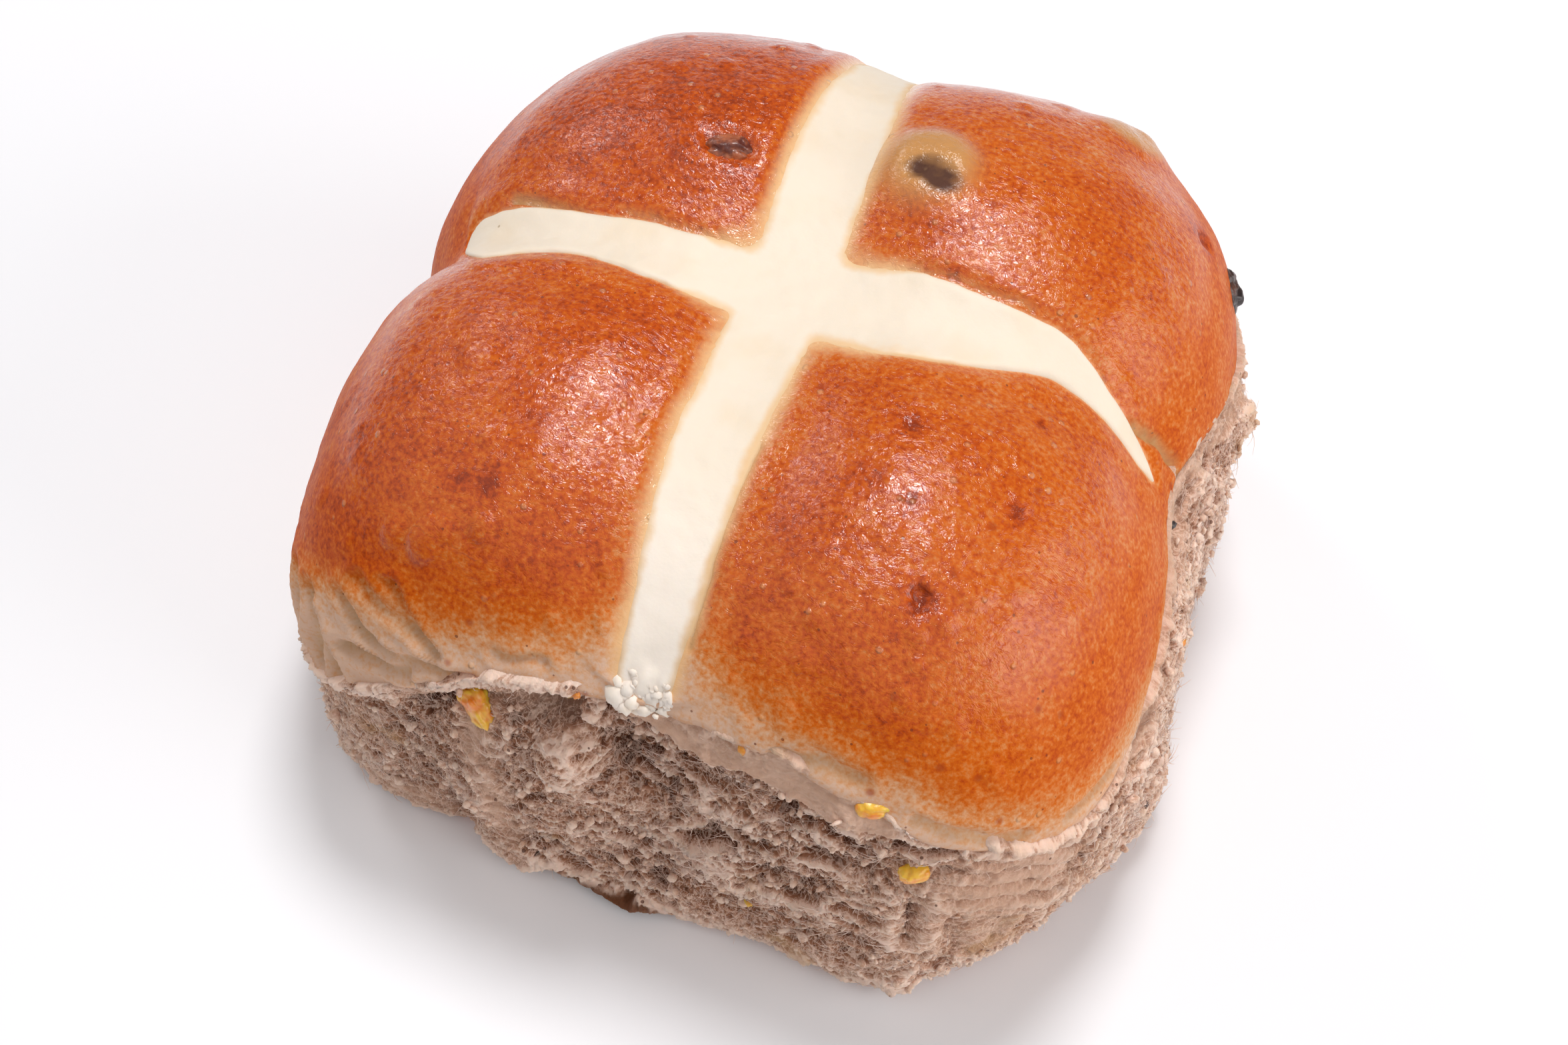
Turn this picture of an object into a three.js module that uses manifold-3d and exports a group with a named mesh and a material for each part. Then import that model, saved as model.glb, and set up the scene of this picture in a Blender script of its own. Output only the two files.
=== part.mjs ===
// A hot cross bun torn from the corner of a batch: a pillowy bread bun with four lobes, torn on its front
// (-Y) and right (+X) sides and baked on the others, a two-armed cross of flour paste sunk in its crown, and
// the dried fruit and peel that show at its surface. Millimetres, +Z up, origin at the centre of the base.
import * as THREE from "three";
import { mergeVertices } from "three/addons/utils/BufferGeometryUtils.js";
import Module from "manifold-3d";

// The bun's driving dimensions, in millimetres.
const bunHeight = 46.5; // to the crown, before the cross presses it down
const reach = { right: 35.9, left: 37.0, front: 36.8, back: 36.4 }; // from the cross's centre to each side
const beltHeight = 17; // where the side turns into the dome
const planPower = 4.0; // how square the bun is from above
const domePower = { across: 4.1, up: 2.0 };
const foot = { share: 0.955, rounding: 1.3, innerShare: 0.45 }; // the base's reach as a share of the belt's
const fruitGap = 0.3; // between a piece and its socket

// Where the cross lies the crown has a valley along each arm, narrower and shallower at the back.
const valley = {
  alongY: { depth: 3.4, backLoss: 1.5, width: 8.0, backNarrowing: 3.2, centre: 0.2, backStart: 8 },
  alongX: { depth: 3.0, width: 7.0, centre: 1.2 },
  deepest: 4.5,
  fade: 0.8,
};
// How far each lobe rises over the crown's own height, and how softly one turns into the next.
const lobes = { leftFront: 0.2, rightFront: 0.6, rightBack: -0.6, leftBack: 0.7, softness: 6 };

// Local changes to the outline seen from above: where the arms reach the rim, and at each corner.
const outlineSwells = [
  { at: 2, by: -1.0, spread: 10 },
  { at: 90, by: -0.9, spread: 7 },
  { at: 178, by: -2.4, spread: 8 },
  { at: -90, by: -0.4, spread: 8 },
  { at: 40, by: -0.9, spread: 24 },
  { at: 135, by: -2.4, spread: 22 },
  { at: -135, by: -0.2, spread: 20 },
  { at: -42, by: 0.5, spread: 18 },
];
// Where the base reaches further out or less far, as a share of the belt's reach.
const footSwells = [
  { at: -62, by: 0.03, spread: 22 },
  { at: -172, by: 0.04, spread: 28 },
  { at: -118, by: -0.03, spread: 14 },
  { at: -8, by: 0.05, spread: 24 },
];

// The tear: the bearings it runs between, the height of its upper lip, and how far it cuts in under the lip.
const tear = { from: -160, to: 44, ease: 10, depth: 2.0, start: 0.06, full: 0.8, lumpsStart: 0.12 };
const lip = { height: 31.5, edge: 0.9 };
const lipSwells = [
  { at: -145, by: -12, spread: 20 },
  { at: -105, by: 1.6, spread: 14 },
  { at: -44, by: -7, spread: 14 },
  { at: -12, by: -5, spread: 24 },
  { at: 28, by: -9, spread: 20 },
];
// Hollows (+) and lumps (-) of the torn faces: where, how high, how deep, and how wide and tall.
const tornHollows = [
  { at: -103, height: 28, depth: 3.6, spread: 10, tall: 5 },
  { at: -94, height: 19, depth: 1.8, spread: 7, tall: 6 },
  { at: -68, height: 17, depth: 2.2, spread: 13, tall: 4.5 },
  { at: -112, height: 15, depth: -1.2, spread: 5, tall: 9 },
  { at: -122, height: 22, depth: 1.4, spread: 6, tall: 5 },
  { at: -56, height: 7, depth: -0.9, spread: 8, tall: 4 },
  { at: -30, height: 13, depth: -1.6, spread: 9, tall: 9 },
  { at: -12, height: 19, depth: 1.8, spread: 7, tall: 6 },
  { at: 6, height: 14, depth: -1.6, spread: 8, tall: 8 },
  { at: 24, height: 17, depth: -1.2, spread: 7, tall: 7 },
];
// Upright folds of pale skin at the left front corner.
const folds = { at: -138, spread: 14, height: 24, tall: 9, depth: 0.55, pitch: 5.2 };

// Rings of points that make the bun: shares of the side's height, then shares of the turn over the dome.
const columns = 88;
const sideShares = [0, 0.12, 0.26, 0.4, 0.54, 0.68, 0.8, 0.9, 0.97];
const domeShares = [0, 0.06, 0.14, 0.23, 0.33, 0.43, 0.53, 0.63, 0.72, 0.8, 0.87, 0.93, 0.97];

const rad = THREE.MathUtils.degToRad;
const smoothStep = THREE.MathUtils.smoothstep;
const bell = (v) => Math.exp(-v * v);
const sideOf = (v, softness) => 0.5 + 0.5 * Math.tanh(v / softness);
const turnBetween = (a, b) => Math.atan2(Math.sin(a - b), Math.cos(a - b));
const bellAt = (theta, { at, spread }) => bell(turnBetween(theta, rad(at)) / rad(spread));
const swell = (list, theta) => list.reduce((sum, s) => sum + s.by * bellAt(theta, s), 0);
const polar = (radius, theta, z) => new THREE.Vector3(radius * Math.cos(theta), radius * Math.sin(theta), z);

// The outline seen from above: a squared-off oval whose quarters have their own reach, with its swells.
function planRadius(theta) {
  const c = Math.abs(Math.cos(theta)) / (Math.cos(theta) > 0 ? reach.right : reach.left);
  const s = Math.abs(Math.sin(theta)) / (Math.sin(theta) > 0 ? reach.back : reach.front);
  return (c ** planPower + s ** planPower) ** (-1 / planPower) + swell(outlineSwells, theta);
}

// How far the valleys press the crown down at a point; where they meet they only slowly add up.
function valleyDepth(x, y) {
  const { alongY, alongX, deepest } = valley;
  const back = sideOf(y - alongY.backStart, alongY.backStart);
  const ofY = (alongY.depth - alongY.backLoss * back) *
    bell((x - alongY.centre) / (alongY.width - alongY.backNarrowing * back));
  const ofX = alongX.depth * bell((y - alongX.centre) / alongX.width);
  return deepest * (1 - (1 - ofY / deepest) * (1 - ofX / deepest));
}

function lobeRise(x, y) {
  const right = sideOf(x, lobes.softness);
  const back = sideOf(y, lobes.softness);
  const front = lobes.leftFront * (1 - right) + lobes.rightFront * right;
  return front * (1 - back) + (lobes.leftBack * (1 - right) + lobes.rightBack * right) * back;
}

// The crown over a point in plan, for a dome that is 1 high at the centre and 0 at the belt.
function crownPoint(x, y, dome) {
  const plain = beltHeight + (bunHeight - beltHeight) * dome;
  return new THREE.Vector3(x, y, plain - valleyDepth(x, y) * dome ** valley.fade + lobeRise(x, y) * dome);
}
function crownHeight(x, y) {
  const share = Math.min(1, Math.hypot(x, y) / planRadius(Math.atan2(y, x)));
  return crownPoint(x, y, (1 - share ** domePower.across) ** (1 / domePower.up)).z;
}

// The untorn surface at a bearing and a height: the side under the belt, and the dome over it.
function skinPoint(theta, height) {
  const radius = planRadius(theta);
  if (height > beltHeight) {
    const dome = Math.min(1, (height - beltHeight) / (bunHeight - beltHeight));
    const plan = polar((1 - dome ** domePower.up) ** (1 / domePower.across) * radius, theta, 0);
    return crownPoint(plan.x, plan.y, dome);
  }
  const share = foot.share + swell(footSwells, theta);
  return polar(radius * (share + (1 - share) * (1 - (1 - height / beltHeight) ** 2)), theta, height);
}

const lipHeight = (theta) => lip.height + swell(lipSwells, theta);
function tornShare(theta) {
  const degrees = THREE.MathUtils.radToDeg(turnBetween(theta, 0));
  const begun = smoothStep(degrees, tear.from - tear.ease, tear.from + tear.ease);
  return begun * (1 - smoothStep(degrees, tear.to - tear.ease, tear.to + tear.ease));
}

// How far the torn face lies inside the skin: deepest just under the lip, with its own hollows and lumps.
function tearDepth(theta, height) {
  const share = height / lipHeight(theta);
  const local = tornHollows.reduce(
    (sum, hollow) => sum + hollow.depth * bellAt(theta, hollow) * bell((height - hollow.height) / hollow.tall),
    0,
  );
  const plain = tear.depth * smoothStep(share, tear.start, tear.full);
  return tornShare(theta) * (plain + local * smoothStep(share, 0, tear.lumpsStart));
}
function foldDepth(theta, height) {
  const wave = Math.cos((2 * Math.PI * turnBetween(theta, rad(folds.at))) / rad(folds.pitch));
  return folds.depth * bellAt(theta, folds) * bell((height - folds.height) / folds.tall) * wave;
}
const inward = (point, theta, depth) => point.clone().sub(polar(depth, theta, 0));
const tornPoint = (theta, height) => inward(skinPoint(theta, height), theta, tearDepth(theta, height));

// A closed mesh from rings of points between two end points; its faces point out when the rings climb and
// run anticlockwise.
function closedRings(start, rings, end) {
  const count = rings[0].length;
  const points = [start, ...rings.flat(), end];
  const last = rings.length - 1;
  const at = (ring, i) => 1 + ring * count + (i % count);
  const faces = [];
  for (let i = 0; i < count; i++) {
    faces.push(0, at(0, i + 1), at(0, i));
    faces.push(points.length - 1, at(last, i), at(last, i + 1));
    for (let ring = 0; ring < last; ring++) {
      faces.push(at(ring, i), at(ring, i + 1), at(ring + 1, i + 1));
      faces.push(at(ring, i), at(ring + 1, i + 1), at(ring + 1, i));
    }
  }
  const geometry = new THREE.BufferGeometry().setFromPoints(points);
  geometry.setIndex(faces);
  return geometry;
}

// The bread: flat base, torn or baked side up to the lip, and the dome up to the middle of the crown.
function bunGeometry() {
  const bearings = Array.from({ length: columns }, (_, i) => (i * 2 * Math.PI) / columns);
  const footPoint = (theta) => tornPoint(theta, foot.rounding);
  const innerBase = bearings.map((theta) => footPoint(theta).multiplyScalar(foot.innerShare).setZ(0));
  const outerBase = bearings.map((theta) => inward(footPoint(theta), theta, foot.rounding).setZ(0));
  const side = sideShares.map((share) =>
    bearings.map((theta) => {
      const height = foot.rounding + share * (lipHeight(theta) - lip.edge - foot.rounding);
      return inward(tornPoint(theta, height), theta, foldDepth(theta, height));
    }),
  );
  const dome = domeShares.map((share) =>
    bearings.map((theta) => {
      const start = Math.asin((lipHeight(theta) - beltHeight) / (bunHeight - beltHeight));
      const turn = start + share * (Math.PI / 2 - start);
      const height = beltHeight + (bunHeight - beltHeight) * Math.sin(turn);
      return inward(skinPoint(theta, height), theta, foldDepth(theta, height));
    }),
  );
  const top = new THREE.Vector3(0, 0, crownHeight(0, 0));
  return closedRings(new THREE.Vector3(0, 0, 0), [innerBase, outerBase, ...side, ...dome], top);
}

// The cross: two arms of paste with a flat underside and a low rounded top, wider where they were piped first.
const paste = { above: 0.9, below: 1.1, edge: 0.15, sections: 22, endLength: 2.2, grooveTop: 5 };
const pasteUnder = [0.94, 0.75]; // half-widths of the underside's two steps, as shares of the arm's
const pasteShoulder = 0.72; // the top's shoulder, across and up, as a share
const arms = [
  {
    along: "x",
    from: -29.5,
    to: 31.0,
    centre: (x) => 1.3 + 0.02 * x - 0.0022 * x * x,
    width: (x) => 5.4 + 1.6 * sideOf(x, 9) - 1.6 * smoothStep(x, 20, 31) - 0.6 * smoothStep(-x, 10, 20),
  },
  {
    along: "y",
    from: -32.4,
    to: 33.6,
    centre: (y) => 0.1 - 0.03 * y,
    width: (y) => 5.5 + 0.7 * sideOf(y, 10),
  },
];

// A point on the crown along an arm's centre line.
function onArm(arm, run) {
  const [x, y] = arm.along === "x" ? [run, arm.centre(run)] : [arm.centre(run), run];
  return new THREE.Vector3(x, y, crownHeight(x, y));
}

// An arm's section at a place along it. grow widens and deepens the section and opens its top, for the groove.
function armSection(arm, run, grow) {
  const toEnd = Math.min(run - arm.from, arm.to - run) / paste.endLength;
  const end = Math.sqrt(Math.min(1, 0.12 + toEnd));
  const half = (arm.width(run) / 2) * end + grow;
  const under = -paste.below * Math.min(1, end + 0.3) - grow;
  const top = grow ? paste.grooveTop : paste.above;
  const edge = grow ? paste.grooveTop : paste.edge;
  const shoulder = [half * pasteShoulder, edge + (top - edge) * pasteShoulder];
  const right = [shoulder, [half, edge], [half * pasteUnder[0], under * 0.6], [half * pasteUnder[1], under]];
  const left = right.map(([u, v]) => [-u, v]).reverse();
  const outline = [[0, top], ...right, ...left];
  const centre = onArm(arm, run);
  const forward = onArm(arm, run + 0.3).sub(onArm(arm, run - 0.3)).normalize();
  const sideways = new THREE.Vector3(forward.y, -forward.x, 0).normalize();
  const up = new THREE.Vector3().crossVectors(sideways, forward);
  return outline.map(([u, v]) => centre.clone().addScaledVector(sideways, u).addScaledVector(up, v));
}

// Sections crowd towards the arm's ends, where it is rounded off.
function armGeometry(arm, grow) {
  const middle = (arm.from + arm.to) / 2;
  const half = (arm.to - arm.from) / 2;
  const runs = Array.from({ length: paste.sections + 1 }, (_, i) => {
    return middle - half * Math.cos((Math.PI * i) / paste.sections);
  });
  const rings = runs.map((run) => armSection(arm, run, grow));
  const centreOf = (ring) => {
    return ring.reduce((sum, p) => sum.add(p), new THREE.Vector3()).divideScalar(ring.length);
  };
  return closedRings(centreOf(rings[0]), rings, centreOf(rings.at(-1)));
}

// The fruit: on the crown at x, y, or on the skin or the torn face at a bearing and height. turn is about
// the surface's own normal, lift is of its centre over the surface, wrinkles are a share of its size.
const fruits = [
  { name: "sultana_crown", on: "crown", x: 5.6, y: 15.0, turn: 20, lift: -0.6, size: [6.2, 4.8, 4.2] },
  { name: "sultana_rim", on: "skin", at: 56, height: 38.0, turn: 146, lift: -1.0, size: [6.8, 5.0, 4.4] },
  { name: "raisin_side", on: "skin", at: 39.5, height: 29.6, turn: 130, lift: -0.8, size: [6.2, 4.2, 4.0] },
  { name: "currant_left", on: "crown", x: -9.4, y: 10.6, turn: 12, lift: -1.2, size: [4.6, 3.0, 3.2] },
  { name: "peel_cave", on: "torn", at: -111, height: 27.0, turn: 100, lift: -0.4, size: [4.4, 2.6, 2.4] },
  { name: "peel_lip", on: "skin", at: -60.5, height: 31.6, turn: 25, lift: -0.4, size: [3.4, 1.9, 2.0] },
  { name: "peel_crumb", on: "torn", at: -56.5, height: 24.5, turn: 30, lift: -0.3, size: [3.6, 2.8, 2.2] },
  { name: "peel_side", on: "torn", at: -9.5, height: 19.5, turn: 150, lift: -0.3, size: [3.2, 2.0, 2.0] },
];
const wrinkle = { depth: 0.09, count: 5, twist: 2 };

// An oval with a few wrinkles along it. grow makes the plain oval of its socket.
function fruitGeometry({ size }, grow) {
  const geometry = new THREE.SphereGeometry(1, 12, 8);
  const points = geometry.getAttribute("position");
  const p = new THREE.Vector3();
  for (let i = 0; i < points.count; i++) {
    p.fromBufferAttribute(points, i);
    const wave = Math.cos(wrinkle.count * Math.atan2(p.y, p.x) + wrinkle.twist * p.z);
    const shrink = 1 - (grow ? 0 : wrinkle.depth * (0.5 + 0.5 * wave));
    points.setXYZ(i, ...size.map((s, k) => (s / 2 + grow) * shrink * p.getComponent(k)));
  }
  return geometry;
}

// The surface under a fruit as a function of steps east (anticlockwise, or +x) and north (up, or +y).
function surfaceUnder(fruit) {
  if (fruit.on === "crown") {
    return (east, north) => {
      const [x, y] = [fruit.x + east, fruit.y + north];
      return new THREE.Vector3(x, y, crownHeight(x, y));
    };
  }
  const pointOf = fruit.on === "skin" ? skinPoint : tornPoint;
  return (east, north) => pointOf(rad(fruit.at) + east / reach.right, fruit.height + north);
}
function fruitPlace(fruit) {
  const surface = surfaceUnder(fruit);
  const step = 0.5;
  const east = surface(step, 0).sub(surface(-step, 0));
  const outward = surface(0, step).sub(surface(0, -step));
  outward.crossVectors(east, outward).normalize();
  const upright = new THREE.Vector3(0, 0, 1);
  const turned = new THREE.Quaternion().setFromUnitVectors(upright, outward);
  turned.multiply(new THREE.Quaternion().setFromAxisAngle(upright, rad(fruit.turn)));
  const centre = surface(0, 0).addScaledVector(outward, fruit.lift);
  return new THREE.Matrix4().compose(centre, turned, new THREE.Vector3(1, 1, 1));
}

// Joining and cutting of closed meshes.
const wasm = await Module();
wasm.setup();
function solidOf(geometry, place = new THREE.Matrix4()) {
  const bare = geometry.clone().applyMatrix4(place);
  bare.deleteAttribute("normal");
  bare.deleteAttribute("uv");
  const merged = mergeVertices(bare, 1e-4);
  return new wasm.Manifold(
    new wasm.Mesh({
      numProp: 3,
      vertProperties: merged.getAttribute("position").array,
      triVerts: new Uint32Array(merged.index.array),
    }),
  );
}
function geometryOf(solid) {
  const mesh = solid.getMesh();
  const geometry = new THREE.BufferGeometry();
  geometry.setAttribute("position", new THREE.BufferAttribute(mesh.vertProperties, 3));
  geometry.setIndex(new THREE.BufferAttribute(mesh.triVerts, 1));
  geometry.computeVertexNormals();
  return geometry;
}
const joined = (solids) => solids.reduce((sum, solid) => sum.add(solid));

const looks = {
  bread: new THREE.MeshStandardMaterial({ color: 0xb5612a, roughness: 0.45, metalness: 0 }),
  paste: new THREE.MeshStandardMaterial({ color: 0xf3e6c6, roughness: 0.7, metalness: 0 }),
  raisin: new THREE.MeshStandardMaterial({ color: 0x3a2119, roughness: 0.4, metalness: 0 }),
  currant: new THREE.MeshStandardMaterial({ color: 0x6e2c1a, roughness: 0.4, metalness: 0 }),
  sultana: new THREE.MeshStandardMaterial({ color: 0xa0703a, roughness: 0.4, metalness: 0 }),
  peel: new THREE.MeshStandardMaterial({ color: 0xe0961c, roughness: 0.35, metalness: 0 }),
};
const named = (name, geometry, look) => Object.assign(new THREE.Mesh(geometry, look), { name });

const bread = solidOf(bunGeometry());
const grooves = arms.map((arm) => solidOf(armGeometry(arm, fruitGap)));
const sockets = fruits.map((fruit) => solidOf(fruitGeometry(fruit, fruitGap), fruitPlace(fruit)));
const cross = joined(arms.map((arm) => solidOf(armGeometry(arm, 0))));

const bun = new THREE.Group();
bun.add(named("bun", geometryOf(bread.subtract(joined([...grooves, ...sockets]))), looks.bread));
bun.add(named("cross", geometryOf(cross), looks.paste));
for (const fruit of fruits) {
  const [kind] = fruit.name.split("_");
  const mesh = named(fruit.name, fruitGeometry(fruit, 0), looks[kind]);
  mesh.applyMatrix4(fruitPlace(fruit));
  bun.add(mesh);
}

// The origin is the middle of the bun's own box, which is not quite the centre of the cross.
const middle = new THREE.Box3().setFromObject(bun).getCenter(new THREE.Vector3());
bun.position.set(-middle.x, -middle.y, 0);
const part = new THREE.Group();
part.add(bun);
export default part;
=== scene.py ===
# A hot cross bun torn from the corner of a batch: glazed crust with four lobes, torn crumb on the front
# (-Y) and right (+X) sides, a cross of baked flour paste, sultanas, a raisin, a currant and candied peel.
# Shapes are worked out in millimetres from the cross's centre and put into metres in the frame at the end.
import bpy
import numpy as np
from mathutils import Matrix, Vector


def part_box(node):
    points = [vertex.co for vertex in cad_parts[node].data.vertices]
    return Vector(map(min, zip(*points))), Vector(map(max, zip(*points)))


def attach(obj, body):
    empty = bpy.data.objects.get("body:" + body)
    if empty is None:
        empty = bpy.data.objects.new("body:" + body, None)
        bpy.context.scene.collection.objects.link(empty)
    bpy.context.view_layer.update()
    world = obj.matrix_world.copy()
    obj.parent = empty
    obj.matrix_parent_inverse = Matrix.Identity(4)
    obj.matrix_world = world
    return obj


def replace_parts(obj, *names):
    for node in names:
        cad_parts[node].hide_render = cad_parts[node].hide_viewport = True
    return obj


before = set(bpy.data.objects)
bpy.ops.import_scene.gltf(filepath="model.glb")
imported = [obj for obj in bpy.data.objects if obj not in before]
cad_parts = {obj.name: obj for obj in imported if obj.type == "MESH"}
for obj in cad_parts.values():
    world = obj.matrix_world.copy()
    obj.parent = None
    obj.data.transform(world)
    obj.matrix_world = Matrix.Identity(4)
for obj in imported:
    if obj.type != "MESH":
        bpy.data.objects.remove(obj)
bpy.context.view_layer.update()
mm = 0.001
deg = np.pi / 180

# places from the frame

armRuns = {"x": (-29.5, 31.0), "y": (-32.4, 33.6)}  # the cross's arms as they are in the frame
crossLow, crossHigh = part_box("cross")
crossCentre = [(crossLow[k] + crossHigh[k]) / 2 / mm - sum(armRuns["xy"[k]]) / 2 for k in (0, 1)]


def nodeMiddle(name):
    # the middle of a node's box, in millimetres from the cross's centre
    low, high = (np.array(corner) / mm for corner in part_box(name))
    return (low + high) / 2 - np.array([*crossCentre, 0])


# repeatable noise, all as whole arrays


def hashOf(cells, seed):
    # 0 to 1 from whole-number coordinates, by multiplying and mixing their bits
    h = np.full(cells[0].shape, seed * 2654435761 % 4294967296, np.uint64)
    for k, part in enumerate(cells):
        bits = (part.astype(np.int64) & 0xFFFFFFFF).astype(np.uint64)
        h = (h ^ (bits * (374761393 + 668265263 * k))) & 0xFFFFFFFF
        h = ((h ^ (h >> 15)) * 2246822519) & 0xFFFFFFFF
        h = ((h ^ (h >> 13)) * 3266489917) & 0xFFFFFFFF
    return (h ^ (h >> 16)).astype(float) / 4294967296


def smooth(v, low=0.0, high=1.0):
    t = np.clip((v - low) / (high - low), 0, 1)
    return t * t * (3 - 2 * t)


def noise(point, size, seed):
    # values at the corners of a lattice of cubes, blended smoothly between them, -1 to 1
    scaled = [axis / size for axis in point]
    cell = [np.floor(axis) for axis in scaled]
    part = [smooth(axis - floor) for axis, floor in zip(scaled, cell)]
    total = 0
    for corner in np.ndindex(*(2,) * len(point)):
        weight = 1
        for k, step in enumerate(corner):
            weight = weight * (part[k] if step else 1 - part[k])
        total = total + weight * hashOf([c + s for c, s in zip(cell, corner)], seed)
    return 2 * total - 1


def layered(point, size, seed, octaves=3):
    # noise added to itself at half the size and a bit over half the strength each time
    return sum(0.55**k * noise(point, size / 2**k, seed + 17 * k) for k in range(octaves)) / 1.6


def cells(point, seed):
    # distances to the nearest and second nearest of points scattered one to a cube, and the nearest's number
    base = [np.floor(axis) for axis in point]
    near, second = np.full(point[0].shape, 9.0), np.full(point[0].shape, 9.0)
    number = np.zeros(point[0].shape)
    for step in np.ndindex(*(3,) * len(point)):
        cell = [floor + s - 1 for floor, s in zip(base, step)]
        spread = [hashOf(cell, seed + k) for k in range(len(point))]
        away = np.sqrt(sum((c + part - axis) ** 2 for c, part, axis in zip(cell, spread, point)))
        closer = away < near
        second = np.where(closer, near, np.minimum(second, away))
        number = np.where(closer, (spread[0] * 7.3 + spread[1] * 3.1) % 1, number)
        near = np.minimum(near, away)
    return near, second, number


def bell(v):
    return np.exp(-v * v)


def turnBetween(a, b):
    return (a - b + np.pi) % (2 * np.pi) - np.pi


def bellAround(theta, at, wide):
    # 1 at a bearing, less to either side over a half-width, both in degrees
    return bell(turnBetween(theta, at * deg) / (wide * deg))


def swell(theta, places):
    # bells at bearings: (bearing, height, half-width)
    return sum(by * bellAround(theta, at, wide) for at, by, wide in places)


def through(theta, places):
    # a smooth ring through (bearing, value) pairs: straight between them, then softened by a few degrees
    at, value = (np.array(column, float) for column in zip(*places))
    degrees = turnBetween(theta, 0) / deg
    offsets = np.linspace(-5, 5, 7)
    weights = bell(offsets / 3.5)
    around = sum(w * np.interp(degrees + o, at, value, period=360) for o, w in zip(offsets, weights))
    return around / weights.sum()


# the bun's overall shape, as in the frame

bunShape = {
    "height": 46.5, "belt": 17.0, "right": 35.9, "left": 37.0, "front": 36.8, "back": 36.4,
    "planPower": 4.0, "across": 4.1,
    # bearing, reach and half-width of bells on the plan
    "swells": [
        (2, -1.0, 10), (90, -0.2, 5), (181, -2.6, 7), (-90, -0.4, 8), (62, 1.1, 13), (40, -0.9, 24),
        (135, -2.7, 22), (-135, -0.2, 20), (-42, 0.5, 18),
    ],
    # the foot's reach as a share of the plan's, round the bun
    "foot": [
        (-180, 0.99), (-160, 0.985), (-141, 0.985), (-134, 0.968), (-124, 0.93), (-118, 0.885),
        (-113, 0.93), (-106, 0.912), (-97, 0.905), (-88, 0.942), (-76, 0.914), (-72, 0.907), (-67, 0.942),
        (-58, 0.955), (-52, 0.92), (-39, 0.908), (-34, 0.908), (-29, 0.95), (-24, 1.01), (-17, 1.05),
        (-10, 1.045), (-4, 1.02), (3, 1.005), (20, 1.0), (45, 0.97), (90, 0.955), (140, 0.955),
    ],
    # the height of the crust's lower edge over the tear, round the bun
    "lip": [
        (-180, 16), (-165, 14), (-150, 15), (-140, 17.5), (-132, 20.5), (-127, 23), (-123, 25.3),
        (-120, 27.3), (-116, 29.4), (-112, 31.8), (-108, 33.2), (-101, 34.9), (-92, 35.8), (-84, 35.8),
        (-73, 34.6), (-66, 33), (-60, 32), (-57, 29.8), (-53, 28.6), (-44, 26.8), (-39, 25.2),
        (-33, 23.6), (-26, 24.6), (-20, 26), (-14, 28), (-8, 29.6), (-3, 31.5), (2, 33), (8, 33),
        (13, 31.8), (22, 29.4), (28, 27), (34, 24.5), (44, 24), (70, 28), (140, 24),
    ],
    "tornFrom": -160, "tornTo": 44, "tornEase": 7,
}


def sideOf(v, softness):
    return 0.5 + 0.5 * np.tanh(v / softness)


def planRadius(theta):
    # a squared-off oval whose quarters have their own reach, with bells where the arms meet the rim
    c, s = np.cos(theta), np.sin(theta)
    across = np.abs(c) / np.where(c > 0, bunShape["right"], bunShape["left"])
    along = np.abs(s) / np.where(s > 0, bunShape["back"], bunShape["front"])
    power = bunShape["planPower"]
    return (across**power + along**power) ** (-1 / power) + swell(theta, bunShape["swells"])


def crownZ(x, y, dome):
    # a plain dome, less a valley along each arm, plus or minus each lobe's rise
    back = sideOf(y - 8, 8)
    ofY = (3.4 - 1.2 * back) * bell((x - 0.2 + 1.2 * back) / (8 - 3.8 * back))
    ofX = 3.0 * bell((y - 1.2) / 7)
    valley = 4.5 * (1 - (1 - ofY / 4.5) * (1 - ofX / 4.5))
    right, rear = sideOf(x, 6), sideOf(y, 6)
    rise = (0.2 * (1 - right) + 0.6 * right) * (1 - rear) + (0.8 * (1 - right) + 0.9 * right) * rear
    plain = bunShape["belt"] + (bunShape["height"] - bunShape["belt"]) * dome
    return plain - valley * dome**0.8 + rise * dome


def domeShare(x, y):
    # how far up the dome a place in plan stands: 0 at the belt, 1 at the crown
    share = np.minimum(0.9999, np.hypot(x, y) / planRadius(np.arctan2(y, x)))
    return np.sqrt(1 - share ** bunShape["across"])


def onDome(share):
    # a share of the dome as a height
    return bunShape["belt"] + (bunShape["height"] - bunShape["belt"]) * share


def skin(theta, height):
    # the untorn surface: under the belt the side leans in to the foot, over it the dome closes to the crown
    belt, top = bunShape["belt"], bunShape["height"]
    radius = planRadius(theta)
    dome = np.clip((height - belt) / (top - belt), 0, 1)
    foot = through(theta, bunShape["foot"])
    under = foot + (1 - foot) * (1 - np.clip(1 - height / belt, 0, 1) ** 2)
    share = np.where(height > belt, (1 - dome**2) ** (1 / bunShape["across"]), under)
    x, y = share * radius * np.cos(theta), share * radius * np.sin(theta)
    return np.stack([x, y, np.where(height > belt, crownZ(x, y, dome), height)], -1)


def lipHeight(theta):
    around = theta * 36
    return through(theta, bunShape["lip"]) + 0.3 * noise([around], 5.0, 3) + 0.16 * noise([around], 1.6, 4)


def tornShare(theta):
    degrees = turnBetween(theta, 0) / deg
    start, end, ease = bunShape["tornFrom"], bunShape["tornTo"], bunShape["tornEase"]
    return smooth(degrees, start - ease, start + ease) * (1 - smooth(degrees, end - ease, end + ease))


def outwardOf(theta):
    return np.stack([np.cos(theta), np.sin(theta), np.zeros_like(theta)], -1)


# mesh making


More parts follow.
